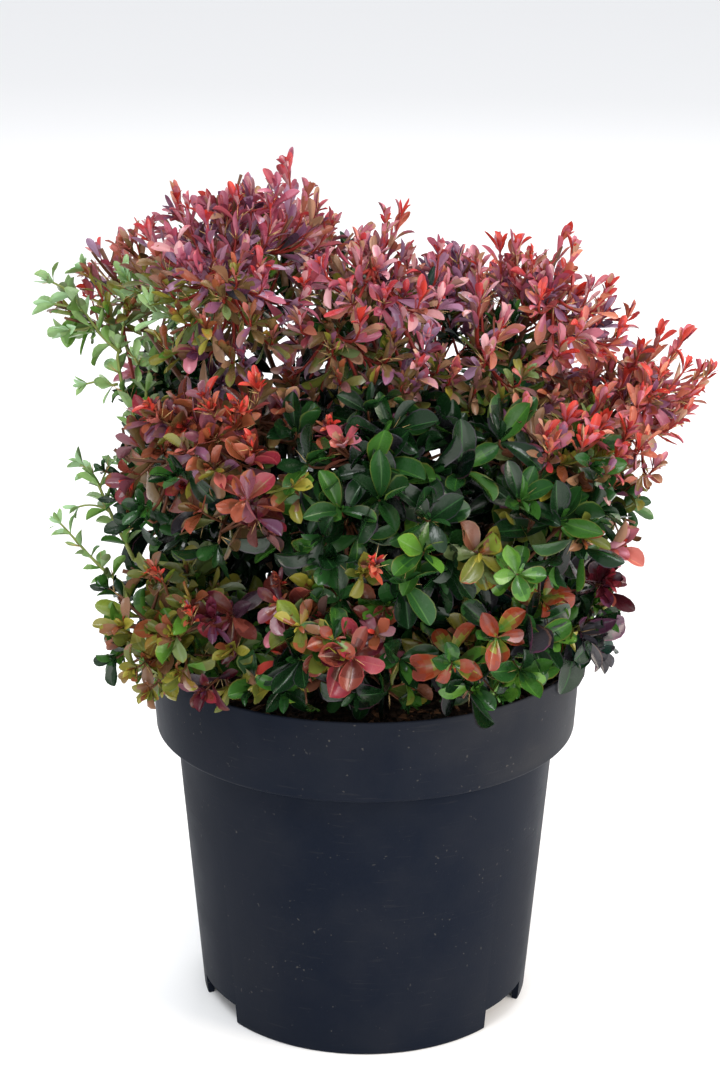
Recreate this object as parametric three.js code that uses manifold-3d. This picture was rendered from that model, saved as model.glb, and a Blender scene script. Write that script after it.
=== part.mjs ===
// A Japanese barberry in its nursery pot, built as the real plant is: a thin-walled plastic pot
// filled with potting mix, a short main stem with a flared foot, one bough for each part of the
// crown, and the masses of thorny twigs and leaves that the boughs carry.
// Millimetres, Z up. The origin is the centre of the circle that the pot stands on, and -Y is
// the front.

import * as THREE from "three";
import { mergeVertices } from "three/addons/utils/BufferGeometryUtils.js";
import Module from "manifold-3d";

const wasm = await Module();
wasm.setup();

// Driving dimensions: the pot
const POT_HEIGHT = 164.5;
const RIM_RADIUS = 95; // a 19 cm pot, which holds three litres
const BAND_HEIGHT = 36.5; // the wide collar round the top
const BAND_FOOT_RADIUS = 93;
const BODY_TOP_RADIUS = 84.3;
const BASE_RADIUS = 74;
const WALL = 1.5;
const FLOOR_LEVEL = 10; // the floor's underside, which the skirt holds off the ground
const FLOOR = 2;
const SKIRT = 3; // the thickness of the skirt that the pot stands on
const SKIRT_CHAMFER = 1.2;
const LIP_ROUNDING = 0.6;
const BAND_ROUNDING = 1.8;
const POT_SIDES = 44;
const NOTCH_COUNT = 3; // drainage notches that part the skirt into feet
const NOTCH_WIDTH = 31;
const NOTCH_HEIGHT = 9.6;
const NOTCH_DEPTH = 14;
const NOTCH_FIRST_DEG = -32; // counter-clockwise from +X

// Driving dimensions: the potting mix
const MIX_BELOW_RIM = 12; // at the pot's wall
const MIX_MOUND = 4; // how much higher it is round the stem
const MIX_FLAT_RADIUS = 15;
const MIX_SIDES = 26;

// Driving dimensions: the main stem and the boughs
const STEM_HEIGHT = 34;
const STEM_FOOT_RADIUS = 11.5; // across the root flare
const STEM_RADIUS = 7.6;
const STEM_TOP_RADIUS = 6.2;
const STEM_LEAN = new THREE.Vector2(1.6, -1.2); // how far the top stands from over the foot
const STEM_SIDES = 16;
const BOUGH_ROOT_RADIUS = 1.9;
const BOUGH_TIP_RADIUS = 1.25;
const BOUGH_SIDES = 5;
const BOUGH_STEPS = 4;
const BOUGH_RISE_DEG = 25; // how steeply a bough leaves the stem
const BOUGH_ENTRY = 0.8; // of the way from the middle of a mass to the inner edge of its space

// Driving dimensions: the twigs and leaves
const TWIG_SIDES = 3;
const STEM_TWIG_TIP_RADIUS = 0.9;
const TWIG_ROOT_RADIUS = 0.95;
const TWIG_TIP_RADIUS = 0.6;
const SHORTEST_TWIG = 6; // clear of the core
const SIDE_TWIGS = 6;
const CORE_SHARE = 0.55; // of the way from the middle of a mass to the edge of its space
const CORE_LEAVES = 18; // tried for, over each core
const NODE_SPACING = 8.5; // along a twig, from one leaf to the next
const HABITS = {
  shoots: { leafLength: 30, leafAspect: 0.46, leafAngle: 42, lift: 0.75 },
  rosettes: { leafLength: 34, leafAspect: 0.56, leafAngle: 60, lift: 0.1 },
}; // leaves are larger than life, because there are fewer of them
const LEAF_WIDEST = 0.62; // how far along it a leaf is widest
const LEAF_KEEL = 1.4; // how thick the leaf is at its keel's deepest
const LEAF_KEEL_AT = 0.3; // how far along it the keel is deepest
const GOLDEN_TURN = THREE.MathUtils.degToRad(137.5);

// Clearances
const GAP = 0.3; // between pieces that rest on or carry each other
const STEM_GAP = 0.4; // from a bough's middle to the middle of the stem it carries
const NEIGHBOUR_GAP = 0.5; // between two masses, to the plane that parts them
const LIMB_GAP = 0.6;
const RIM_CLEARANCE = 3; // from the leaves to the pot's rim and the mix

// The crown's masses. Each has its centre, its reach sideways and upwards, and the habit of its
// twigs: "shoots" stand up and have narrow leaves, "rosettes" spread and have broad ones. Some
// hang over the rim, down to the height given.
const MASSES = [
  { name: "top_far_left", at: [-102, 24, 306], reach: 47, rise: 43, habit: "shoots" },
  { name: "top_left", at: [-52, -18, 329], reach: 48, rise: 52, habit: "shoots" },
  { name: "top_middle", at: [4, -28, 312], reach: 46, rise: 50, habit: "shoots" },
  { name: "top_right", at: [65, -14, 302], reach: 49, rise: 50, habit: "shoots" },
  { name: "top_far_right", at: [104, -18, 268], reach: 47, rise: 44, habit: "shoots" },
  { name: "top_back_left", at: [-34, 44, 310], reach: 50, rise: 50, habit: "shoots" },
  { name: "top_back_right", at: [34, 46, 292], reach: 50, rise: 47, habit: "shoots" },
  { name: "middle_front_left", at: [-58, -60, 260], reach: 48, rise: 46, habit: "rosettes" },
  { name: "middle_front", at: [2, -74, 250], reach: 47, rise: 46, habit: "rosettes" },
  { name: "middle_front_right", at: [62, -56, 246], reach: 48, rise: 46, habit: "rosettes" },
  { name: "middle_left", at: [-84, -12, 236], reach: 42, rise: 42, habit: "rosettes" },
  { name: "middle_right", at: [90, 17, 222], reach: 42, rise: 40, habit: "rosettes" },
  { name: "middle_back_left", at: [-74, 60, 252], reach: 46, rise: 46, habit: "rosettes" },
  { name: "middle_back", at: [-4, 77, 248], reach: 47, rise: 46, habit: "rosettes" },
  { name: "middle_back_right", at: [68, 62, 242], reach: 48, rise: 46, habit: "rosettes" },
  { name: "low_front_left", at: [-70, -54, 190], reach: 46, rise: 46, habit: "rosettes", hang: 148 },
  { name: "low_front", at: [-14, -70, 190], reach: 44, rise: 42, habit: "rosettes" },
  { name: "low_front_right", at: [44, -62, 190], reach: 44, rise: 42, habit: "rosettes" },
  { name: "low_right", at: [79, -20, 186], reach: 40, rise: 40, habit: "rosettes", hang: 156 },
  { name: "low_back_right", at: [64, 54, 188], reach: 46, rise: 40, habit: "rosettes" },
  { name: "low_back", at: [12, 75, 188], reach: 46, rise: 40, habit: "rosettes", hang: 152 },
  { name: "low_back_left", at: [-58, 60, 188], reach: 46, rise: 40, habit: "rosettes" },
  { name: "low_left", at: [-80, 4, 188], reach: 40, rise: 38, habit: "rosettes", hang: 156 },
];

// Finishes
const FINISHES = {
  pot: new THREE.MeshStandardMaterial({ color: 0x24272f, roughness: 0.5, metalness: 0 }),
  mix: new THREE.MeshStandardMaterial({ color: 0x1c1511, roughness: 1, metalness: 0 }),
  bark: new THREE.MeshStandardMaterial({ color: 0x5a3d2c, roughness: 0.85, metalness: 0 }),
  lowLeaf: new THREE.MeshStandardMaterial({ color: 0x4a5a30, roughness: 0.45, metalness: 0 }),
  midLeaf: new THREE.MeshStandardMaterial({ color: 0x6e4638, roughness: 0.45, metalness: 0 }),
  topLeaf: new THREE.MeshStandardMaterial({ color: 0x96413f, roughness: 0.45, metalness: 0 }),
};

// Numbers from 0 to 1 that follow each other in the same order on every run.
function seededRandom(seed) {
  let state = seed;
  return () => {
    state = (state + 0x6d2b79f5) | 0;
    let mixed = Math.imul(state ^ (state >>> 15), 1 | state);
    mixed = (mixed + Math.imul(mixed ^ (mixed >>> 7), 61 | mixed)) ^ mixed;
    return ((mixed ^ (mixed >>> 14)) >>> 0) / 4294967296;
  };
}

function solidFrom(geometry) {
  const bare = geometry.clone();
  bare.deleteAttribute("normal");
  bare.deleteAttribute("uv");
  const welded = mergeVertices(bare, 1e-4);
  return new wasm.Manifold(
    new wasm.Mesh({
      numProp: 3,
      vertProperties: welded.attributes.position.array,
      triVerts: new Uint32Array(welded.index.array),
    }),
  );
}

function geometryFrom(solid) {
  const mesh = solid.getMesh();
  const indexed = new THREE.BufferGeometry();
  indexed.setAttribute("position", new THREE.BufferAttribute(mesh.vertProperties, mesh.numProp));
  indexed.setIndex(new THREE.BufferAttribute(mesh.triVerts, 1));
  const flat = indexed.toNonIndexed();
  flat.computeVertexNormals();
  return flat;
}

function geometryOf(vertices, triangles) {
  const geometry = new THREE.BufferGeometry();
  const flat = vertices.flatMap((v) => v.toArray());
  geometry.setAttribute("position", new THREE.Float32BufferAttribute(flat, 3));
  geometry.setIndex(triangles);
  return geometry;
}

// A profile of [radius, height] pairs turned about Z.
function turned(profile, sides) {
  const points = profile.map(([radius, height]) => new THREE.Vector2(radius, height));
  return new THREE.LatheGeometry(points, sides).rotateX(Math.PI / 2);
}

// The level direction across an axis, from which turns about the axis are measured
function crosswise(axis) {
  const side = Math.abs(axis.z) < 0.95 ? new THREE.Vector3(0, 0, 1) : new THREE.Vector3(1, 0, 0);
  return axis.clone().cross(side).normalize();
}

// The direction at an angle from an axis, turned about that axis
function tilted(axis, turn, angle) {
  const across = crosswise(axis).applyAxisAngle(axis, turn);
  return axis
    .clone()
    .multiplyScalar(Math.cos(angle))
    .addScaledVector(across, Math.sin(angle));
}

// A closed tapering limb: rings of the given radii round the points of its line, and a flat cap
// at each end. The rings are carried along without twisting.
function limb(points, radii, sides) {
  const vertices = [];
  const triangles = [];
  let across = crosswise(points[1].clone().sub(points[0]).normalize());
  points.forEach((point, i) => {
    const before = points[Math.max(i - 1, 0)];
    const after = points[Math.min(i + 1, points.length - 1)];
    const along = after.clone().sub(before).normalize();
    across = across.clone().addScaledVector(along, -along.dot(across)).normalize();
    const aside = along.clone().cross(across);
    for (let k = 0; k < sides; k++) {
      const turn = (2 * Math.PI * k) / sides;
      const out = across.clone().multiplyScalar(Math.cos(turn)).addScaledVector(aside, Math.sin(turn));
      vertices.push(point.clone().addScaledVector(out, radii[i]));
    }
  });
  for (let i = 0; i + 1 < points.length; i++) {
    for (let k = 0; k < sides; k++) {
      const a = i * sides + k;
      const b = i * sides + ((k + 1) % sides);
      triangles.push(a, b, b + sides, a, b + sides, a + sides);
    }
  }
  const last = (points.length - 1) * sides;
  for (let k = 1; k + 1 < sides; k++) {
    triangles.push(0, k + 1, k, last, last + k, last + k + 1);
  }
  return { vertices, triangles };
}

// A leaf widest past its middle, flat above and keeled below. The keel is deepest near the root,
// so that the leaf is stout where it joins its twig.
function leaf(root, heading, face, length, aspect) {
  const aside = face.clone().cross(heading).normalize();
  const middle = root.clone().addScaledVector(heading, length * LEAF_WIDEST);
  const keel = root.clone().addScaledVector(heading, length * LEAF_KEEL_AT);
  const halfWidth = (length * aspect) / 2;
  const vertices = [
    root.clone(),
    root.clone().addScaledVector(heading, length),
    middle.clone().addScaledVector(aside, halfWidth),
    middle.clone().addScaledVector(aside, -halfWidth),
    keel.addScaledVector(face, -LEAF_KEEL),
  ];
  const triangles = [0, 3, 2, 3, 1, 2, 0, 2, 4, 2, 1, 4, 0, 4, 3, 4, 1, 3];
  return { vertices, triangles };
}

const radians = THREE.MathUtils.degToRad;
const lerp = THREE.MathUtils.lerp;

// The pot
const bandFoot = POT_HEIGHT - BAND_HEIGHT;
const shoulder = bandFoot + WALL; // the ledge inside, where the wall steps out to the collar
const bodyDraft = (BODY_TOP_RADIUS - BASE_RADIUS) / (POT_HEIGHT - BAND_HEIGHT);
const floorRadius = BASE_RADIUS + bodyDraft * FLOOR_LEVEL - WALL;

function potShell() {
  const outer = [
    [0, FLOOR_LEVEL],
    [BASE_RADIUS - SKIRT, FLOOR_LEVEL],
    [BASE_RADIUS - SKIRT, 0],
    [BASE_RADIUS - SKIRT_CHAMFER, 0],
    [BASE_RADIUS, SKIRT_CHAMFER],
    [BODY_TOP_RADIUS, bandFoot],
    [BAND_FOOT_RADIUS - BAND_ROUNDING, bandFoot],
    [BAND_FOOT_RADIUS, bandFoot + BAND_ROUNDING],
    [RIM_RADIUS, POT_HEIGHT - LIP_ROUNDING],
    [RIM_RADIUS - LIP_ROUNDING, POT_HEIGHT],
  ];
  const inner = [
    [RIM_RADIUS - WALL, POT_HEIGHT],
    [BAND_FOOT_RADIUS - WALL, shoulder + BAND_ROUNDING],
    [BAND_FOOT_RADIUS - WALL - BAND_ROUNDING, shoulder],
    [BODY_TOP_RADIUS - WALL, shoulder],
    [floorRadius, FLOOR_LEVEL + FLOOR],
    [0, FLOOR_LEVEL + FLOOR],
  ];
  let shell = solidFrom(turned([...outer, ...inner], POT_SIDES));
  const size = [NOTCH_DEPTH * 2, NOTCH_WIDTH, NOTCH_HEIGHT * 2];
  for (let i = 0; i < NOTCH_COUNT; i++) {
    const turn = radians(NOTCH_FIRST_DEG + (360 / NOTCH_COUNT) * i);
    const block = new THREE.BoxGeometry(...size).translate(BASE_RADIUS, 0, 0).rotateZ(turn);
    shell = shell.subtract(solidFrom(block));
  }
  return geometryFrom(shell);
}

// The potting mix: it fills the pot up to a little below the rim, and is mounded round the stem
const mixEdge = POT_HEIGHT - MIX_BELOW_RIM;
const mixTop = mixEdge + MIX_MOUND;

function pottingMix() {
  const wallSlope = (RIM_RADIUS - BAND_FOOT_RADIUS) / BAND_HEIGHT;
  const collarRadius = BAND_FOOT_RADIUS - WALL + wallSlope * (mixEdge - shoulder - BAND_ROUNDING);
  const clear = 1.5 * GAP; // the coarser facets of the mix need a little more room than the gap
  return turned(
    [
      [0, FLOOR_LEVEL + FLOOR + GAP],
      [floorRadius - clear, FLOOR_LEVEL + FLOOR + GAP],
      [BODY_TOP_RADIUS - WALL - clear, shoulder + GAP],
      [BAND_FOOT_RADIUS - WALL - BAND_ROUNDING - clear, shoulder + GAP],
      [BAND_FOOT_RADIUS - WALL - clear, shoulder + BAND_ROUNDING + GAP],
      [collarRadius - clear, mixEdge],
      [(collarRadius + MIX_FLAT_RADIUS) / 2, mixEdge + MIX_MOUND * 0.6],
      [MIX_FLAT_RADIUS, mixTop],
      [0, mixTop],
    ],
    MIX_SIDES,
  );
}

// The main stem, which leans a little, from the flat cut of its flared foot to where it forks
const stemFoot = mixTop + GAP;

function stemAxis(height) {
  const share = THREE.MathUtils.clamp((height - stemFoot) / STEM_HEIGHT, 0, 1);
  return new THREE.Vector3(STEM_LEAN.x * share, STEM_LEAN.y * share, height);
}

function stemRadius(height) {
  const share = THREE.MathUtils.clamp((height - stemFoot) / STEM_HEIGHT, 0, 1);
  const flare = (STEM_FOOT_RADIUS - STEM_RADIUS) * Math.exp(-share * 9);
  return lerp(STEM_RADIUS, STEM_TOP_RADIUS, share) + flare;
}

function mainStem() {
  const levels = [0, 0.08, 0.2, 0.4, 0.7, 1].map((share) => stemFoot + share * STEM_HEIGHT);
  const side = levels.map((level) => [stemRadius(level), level]);
  const geometry = turned([[0, stemFoot], ...side, [0, stemFoot + STEM_HEIGHT]], STEM_SIDES);
  const positions = geometry.attributes.position;
  for (let i = 0; i < positions.count; i++) {
    const axis = stemAxis(positions.getZ(i));
    positions.setXY(i, positions.getX(i) + axis.x, positions.getY(i) + axis.y);
  }
  return geometry;
}

// The crown's plan: where each mass is, and the bough that carries it
const crownFoot = stemAxis(stemFoot + STEM_HEIGHT / 2);

const masses = MASSES.map((plan, i) => {
  const centre = new THREE.Vector3(...plan.at);
  const outward = centre.clone().sub(crownFoot).setZ(0).normalize();
  const inward = crownFoot.clone().sub(centre).normalize();
  const radii = new THREE.Vector3(plan.reach, plan.reach, plan.rise);
  return { ...plan, seed: 101 + 17 * i, outward, inward, centre, radii };
});

// Whether a point is in a mass's own space: within its reach, on its side of the plane that
// parts it from each neighbour, and over the pot and the mix.
function inSpace(point, mass) {
  const from = point.clone().sub(mass.centre).divide(mass.radii);
  if (from.length() > 1) return false;
  for (const other of masses) {
    if (other === mass) continue;
    const apart = other.centre.clone().sub(mass.centre);
    const span = apart.length();
    const weight = (mass.reach ** 2 - other.reach ** 2) / (2 * span);
    const past = point.clone().sub(mass.centre).dot(apart) / span;
    if (past > span / 2 + weight - NEIGHBOUR_GAP) return false;
  }
  const radius = Math.hypot(point.x, point.y);
  const overRim = POT_HEIGHT + RIM_CLEARANCE;
  if (radius > RIM_RADIUS + RIM_CLEARANCE) return point.z > (mass.hang ?? overRim + 6);
  return point.z > (radius > RIM_RADIUS - 12 ? overRim : mixTop + RIM_CLEARANCE);
}

// How far a mass's space reaches from its centre in a direction
function spaceReach(mass, heading) {
  let reach = 0;
  while (inSpace(mass.centre.clone().addScaledVector(heading, reach + 1), mass)) reach += 1;
  return reach;
}

// The bough leaves the stem's side, low for a low mass and high for a high one, and bends up
// to meet the mass head on. Both its ends are cut square to its line.
function boughLine(mass, startRise) {
  const away = Math.hypot(mass.centre.x, mass.centre.y);
  const climb = Math.atan2(mass.centre.z - stemFoot, away) / (Math.PI / 2);
  const share = lerp(0.16, 0.93, THREE.MathUtils.smoothstep(climb, 0.15, 0.9));
  const level = stemFoot + STEM_HEIGHT * share;
  const rise = radians(BOUGH_RISE_DEG);
  const heading = mass.outward.clone().multiplyScalar(Math.cos(rise)).setZ(Math.sin(rise));
  const inset = BOUGH_ROOT_RADIUS * Math.sin(startRise);
  const halfHeight = BOUGH_ROOT_RADIUS * Math.cos(startRise);
  const above = stemRadius(level + halfHeight) + inset;
  const below = stemRadius(level - halfHeight) - inset;
  const root = stemAxis(level).addScaledVector(mass.outward, Math.max(above, below) + GAP);
  const span = root.distanceTo(mass.inlet);
  const bend = root.clone().addScaledVector(heading, span * 0.3);
  const arrival = mass.inlet.clone().addScaledVector(mass.inward, span * 0.3);
  const curve = new THREE.CubicBezierCurve3(root, bend, arrival, mass.inlet);
  return curve.getPoints(BOUGH_STEPS);
}

function planBough(mass) {
  const [first, second] = boughLine(mass, radians(BOUGH_RISE_DEG));
  const start = second.sub(first).normalize();
  return boughLine(mass, Math.asin(start.z));
}

for (const mass of masses) {
  const edge = spaceReach(mass, mass.inward);
  mass.inlet = mass.centre.clone().addScaledVector(mass.inward, edge * BOUGH_ENTRY);
  mass.bough = planBough(mass);
}

function boughRadius(share) {
  return lerp(BOUGH_ROOT_RADIUS, BOUGH_TIP_RADIUS, share);
}

// How far a point is from the nearest limb that isn't the mass's own, less that limb's radius
function clearOfLimbs(point, own) {
  let nearest = Infinity;
  for (const mass of masses) {
    if (mass === own) continue;
    for (let i = 0; i < BOUGH_STEPS; i++) {
      const line = new THREE.Line3(mass.bough[i], mass.bough[i + 1]);
      const on = line.closestPointToPoint(point, true, new THREE.Vector3());
      nearest = Math.min(nearest, on.distanceTo(point) - boughRadius(i / BOUGH_STEPS));
    }
  }
  return nearest;
}

// Whether a piece keeps to the space and touches no other mass's bough. The checks are made at
// its corners and part of the way along it.
function fits(piece, mass) {
  if (!piece.vertices.every((v) => inSpace(v, mass))) return false;
  const [first, second] = piece.vertices;
  const between = [0, 0.25, 0.5, 0.75, 1].map((share) => first.clone().lerp(second, share));
  const spots = [...piece.vertices, ...between];
  return spots.every((spot) => clearOfLimbs(spot, mass) > LIMB_GAP);
}

// The mass's core, a lump of close foliage that reaches part of the way to the edge of its space.
// It is made smaller where another mass's bough passes close by.
function growCore(mass) {
  for (mass.coreShare = CORE_SHARE; ; mass.coreShare -= 0.04) {
    const lump = new THREE.IcosahedronGeometry(1, 0);
    const positions = lump.attributes.position;
    const corners = [];
    for (let i = 0; i < positions.count; i++) {
      const heading = new THREE.Vector3().fromBufferAttribute(positions, i).normalize();
      const reach = Math.max(spaceReach(mass, heading), 8) * mass.coreShare;
      corners.push(mass.centre.clone().addScaledVector(heading, reach));
      positions.setXYZ(i, ...corners[i].toArray());
    }
    const spots = corners.flatMap((corner, i) => {
      const next = corners[i % 3 === 2 ? i - 2 : i + 1];
      const middle = corner.clone().add(next).divideScalar(2);
      return [corner, middle, middle.clone().lerp(corners[i - (i % 3)], 1 / 3)];
    });
    if (spots.every((spot) => clearOfLimbs(spot, mass) > 2 * LIMB_GAP)) return solidFrom(lump);
  }
}

// A mass of foliage. Its stem takes over from the bough and runs on through the core to the far
// side; side twigs leave it in turn at the golden angle; each carries leaves where it is out of
// the core and ends in a few. What would leave the mass's space, touch a limb or cross a leaf is
// left out.
function growMass(mass) {
  const random = seededRandom(mass.seed);
  const jitter = (spread) => (random() * 2 - 1) * spread;
  const habit = HABITS[mass.habit];
  const forward = mass.inward.clone().negate();
  const rising = forward.clone().add(new THREE.Vector3(jitter(0.15), jitter(0.15), habit.lift));
  rising.normalize();
  const stem = new THREE.QuadraticBezierCurve3(
    mass.inlet.clone().addScaledVector(forward, STEM_GAP),
    mass.centre.clone(),
    mass.centre.clone().addScaledVector(rising, spaceReach(mass, rising) * 0.72),
  );
  const stemPoints = stem.getPoints(3);
  const stemRadii = stemPoints.map((_, i) => lerp(BOUGH_TIP_RADIUS, STEM_TWIG_TIP_RADIUS, i / 3));
  const stemPiece = limb(stemPoints, stemRadii, TWIG_SIDES);
  const stemSolid = solidFrom(geometryOf(stemPiece.vertices, stemPiece.triangles));
  const coreSolid = growCore(mass);
  const inCore = (point) => {
    const from = point.clone().sub(mass.centre);
    const heading = from.clone().normalize();
    return from.length() < spaceReach(mass, heading) * mass.coreShare;
  };

  const twigs = [{ root: stem.getPoint(0.6), tip: stem.getPoint(1), solid: stemSolid }];
  for (let i = 0; i < SIDE_TWIGS; i++) {
    const share = lerp(0.25, 0.85, i / (SIDE_TWIGS - 1));
    const root = stem.getPoint(share);
    const angle = radians(lerp(95, 42, share) + jitter(8));
    const heading = tilted(stem.getTangent(share), i * GOLDEN_TURN + jitter(0.3), angle);
    heading.add(new THREE.Vector3(0, 0, habit.lift * 0.6)).normalize();
    let reach = 0;
    while (inSpace(root.clone().addScaledVector(heading, reach + 1), mass)) reach += 1;
    reach *= 0.7 + 0.1 * random();
    const tip = root.clone().addScaledVector(heading, reach);
    if (inCore(tip.clone().addScaledVector(heading, -SHORTEST_TWIG))) continue;
    const piece = limb([root, tip], [TWIG_ROOT_RADIUS, TWIG_TIP_RADIUS], TWIG_SIDES);
    if (!fits(piece, mass)) continue;
    const solid = solidFrom(geometryOf(piece.vertices, piece.triangles));
    twigs.push({ root, tip, solid });
  }

  const leaves = [];
  function addLeaf(root, heading, face, twig, shares) {
    for (const share of shares) {
      const piece = leaf(root, heading, face, habit.leafLength * share, habit.leafAspect);
      if (!fits(piece, mass)) continue;
      const solid = solidFrom(geometryOf(piece.vertices, piece.triangles));
      const others = twigs.filter((other) => other !== twig).map((other) => other.solid);
      const near = twig ? [coreSolid, ...leaves, ...others] : [...leaves, ...others];
      if (near.some((other) => !other.intersect(solid).isEmpty())) continue;
      leaves.push(solid);
      return true;
    }
    return false;
  }

  // Leaves all over the core, rooted in it and standing out of it
  for (let i = 0; i < CORE_LEAVES; i++) {
    const height = 1 - (2 * i + 1) / CORE_LEAVES;
    const level = Math.sqrt(1 - height ** 2);
    const turn = i * GOLDEN_TURN;
    const away = new THREE.Vector3(level * Math.cos(turn), level * Math.sin(turn), height);
    const reach = spaceReach(mass, away);
    if (reach < 10) continue;
    const root = mass.centre.clone().addScaledVector(away, reach * mass.coreShare * 0.55);
    for (let attempt = 0; attempt < 6; attempt++) {
      const heading = tilted(away, attempt + random(), radians(22 + jitter(14)));
      heading.add(new THREE.Vector3(0, 0, habit.lift * 0.5)).normalize();
      const face = tilted(heading, random() * 6, Math.PI / 2);
      if (addLeaf(root, heading, face, null, [1.1, 0.95, 0.8, 0.65])) break;
    }
  }

  for (const twig of twigs) {
    const heading = twig.tip.clone().sub(twig.root);
    const span = heading.length();
    heading.normalize();
    for (let k = 0; k < 6; k++) {
      const side = tilted(heading, k, Math.PI / 2);
      const root = twig.tip.clone().addScaledVector(heading, -2);
      if (addLeaf(root, heading, side, twig, [1, 0.8, 0.65])) break;
    }
    // The leaves leave the twig through the middle of each of its faces in turn.
    const count = Math.round(span / NODE_SPACING);
    const first = Math.floor(random() * TWIG_SIDES);
    for (let k = 0; k < count; k++) {
      const at = twig.tip.clone().lerp(twig.root, (k + 0.5) / (count + 0.5));
      if (inCore(at)) break;
      for (let attempt = 0; attempt < 2 * TWIG_SIDES; attempt++) {
        const turn = ((first + k + attempt + 0.5) / TWIG_SIDES) * 2 * Math.PI;
        const out = tilted(heading, turn + jitter(0.2), radians(habit.leafAngle + jitter(14)));
        const face = heading.clone().addScaledVector(out, -heading.dot(out)).normalize();
        if (addLeaf(at, out, face, twig, [1.05, 0.9, 0.75, 0.6])) break;
      }
    }
  }

  const solids = [coreSolid, ...twigs.map((twig) => twig.solid), ...leaves];
  const fused = wasm.Manifold.union(solids).decompose();
  fused.sort((a, b) => b.volume() - a.volume());
  return geometryFrom(fused[0]);
}

// Assembly
const plant = new THREE.Group();

function addNode(name, geometry, material) {
  const mesh = new THREE.Mesh(geometry, material);
  mesh.name = name;
  plant.add(mesh);
}

function leafFinish(name) {
  if (name.startsWith("low")) return FINISHES.lowLeaf;
  return name.startsWith("top") ? FINISHES.topLeaf : FINISHES.midLeaf;
}

addNode("pot", potShell(), FINISHES.pot);
addNode("potting_mix", pottingMix(), FINISHES.mix);
addNode("main_stem", mainStem(), FINISHES.bark);
for (const mass of masses) {
  const radii = mass.bough.map((_, i) => boughRadius(i / BOUGH_STEPS));
  const bough = limb(mass.bough, radii, BOUGH_SIDES);
  addNode(`bough_${mass.name}`, geometryOf(bough.vertices, bough.triangles), FINISHES.bark);
}
for (const mass of masses) {
  addNode(`foliage_${mass.name}`, growMass(mass), leafFinish(mass.name));
}

export default plant;
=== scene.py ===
# %% [markdown]
# # A Japanese barberry in its nursery pot
# The real plant is a dwarf shrub with small spoon-shaped leaves, red where the sun reaches them
# and green below, in a thin black plastic pot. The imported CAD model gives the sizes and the
# places of the pot, the potting mix, the stem, the boughs and the masses of foliage. This lesson
# grows the leaves and the fine twigs in those same places, and gives each part its finish.

# %% Load the frame
import math
import bmesh
import bpy
import numpy as np
from mathutils import Matrix


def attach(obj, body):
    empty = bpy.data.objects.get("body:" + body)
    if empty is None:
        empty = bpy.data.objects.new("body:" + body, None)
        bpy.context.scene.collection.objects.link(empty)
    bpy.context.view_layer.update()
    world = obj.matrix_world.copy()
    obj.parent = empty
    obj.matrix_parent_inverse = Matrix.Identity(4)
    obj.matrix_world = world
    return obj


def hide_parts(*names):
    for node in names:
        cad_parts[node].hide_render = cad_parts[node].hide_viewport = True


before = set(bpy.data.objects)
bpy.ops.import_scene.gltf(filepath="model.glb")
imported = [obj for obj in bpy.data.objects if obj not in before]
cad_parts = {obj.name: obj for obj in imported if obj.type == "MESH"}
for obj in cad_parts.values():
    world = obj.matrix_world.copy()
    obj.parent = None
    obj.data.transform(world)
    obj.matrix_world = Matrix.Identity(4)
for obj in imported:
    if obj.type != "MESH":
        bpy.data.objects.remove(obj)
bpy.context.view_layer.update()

MM = 0.001  # the shapes are worked out in millimetres, and put into meshes in metres

# %% [markdown]
# ## Making a piece
# Every new piece is a surface worked out as numpy arrays: its points, and its faces of three or
# four corners. One helper turns the arrays into a mesh, with its place in the mesh and the
# object at the origin, as a CAD node's is, so that a pattern on Object coordinates stays put.

# %% Helpers for meshes
def piece(name, points, faces, materials=(), material_of=None, smooth=True, slot=None, replaces=()):
    """A mesh object from points in millimetres and rows of corner numbers. material_of gives
    each face the number of its material."""
    mesh = bpy.data.meshes.new(name)
    mesh.from_pydata(np.asarray(points, float).reshape(-1, 3) * MM, [], faces)
    for material in materials:
        mesh.materials.append(material)
    if material_of is not None:
        mesh.polygons.foreach_set("material_index", np.asarray(material_of, np.int32))
    mesh.polygons.foreach_set("use_smooth", np.full(len(mesh.polygons), smooth))
    mesh.update()
    made = bpy.data.objects.new(name, mesh)
    bpy.context.scene.collection.objects.link(made)
    if slot:
        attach(made, "root")
    if replaces:
        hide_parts(*replaces)
    print(f"{name}: {len(mesh.vertices)} points, {len(mesh.polygons)} faces")
    return made


def grid_faces(rows, columns, closed=False):
    """The faces of a grid whose points run row by row: each takes a point, the next in its
    column, and their neighbours. A closed grid's last column joins its first."""
    across = columns if closed else columns - 1
    row, column = np.meshgrid(np.arange(rows - 1), np.arange(across), indexing="ij")
    beside = (column + 1) % columns
    corners = [row * columns + column, (row + 1) * columns + column]
    corners += [(row + 1) * columns + beside, row * columns + beside]
    return np.stack(corners, -1).reshape(-1, 4)


def copies(faces, count, step, start=0):
    """The faces of many surfaces of one kind, whose points follow each other in equal steps."""
    faces = np.asarray(faces)
    return (faces + start + step * np.arange(count)[:, None, None]).reshape(-1, faces.shape[1])


def unit(vectors):
    """Vectors divided by their own length."""
    vectors = np.asarray(vectors, float)
    return vectors / np.maximum(np.linalg.norm(vectors, axis=-1, keepdims=True), 1e-12)


def lerp(first, last, share):
    """The value that lies at a share of the way from the first to the last."""
    return first + (last - first) * share


def ripple(points, seed, wavelength):
    """A smooth random field from about -1 to 1: a quarter of the sum of eight sine waves, each
    with a direction, a phase and a length of its own near the wavelength."""
    rng = np.random.default_rng(seed)
    waves = unit(rng.normal(size=(8, 3))) * 2 * math.pi
    waves = waves / (wavelength * rng.uniform(0.7, 1.5, (8, 1)))
    return np.sin(points @ waves.T + rng.uniform(0, 2 * math.pi, 8)).sum(-1) / 4


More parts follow.
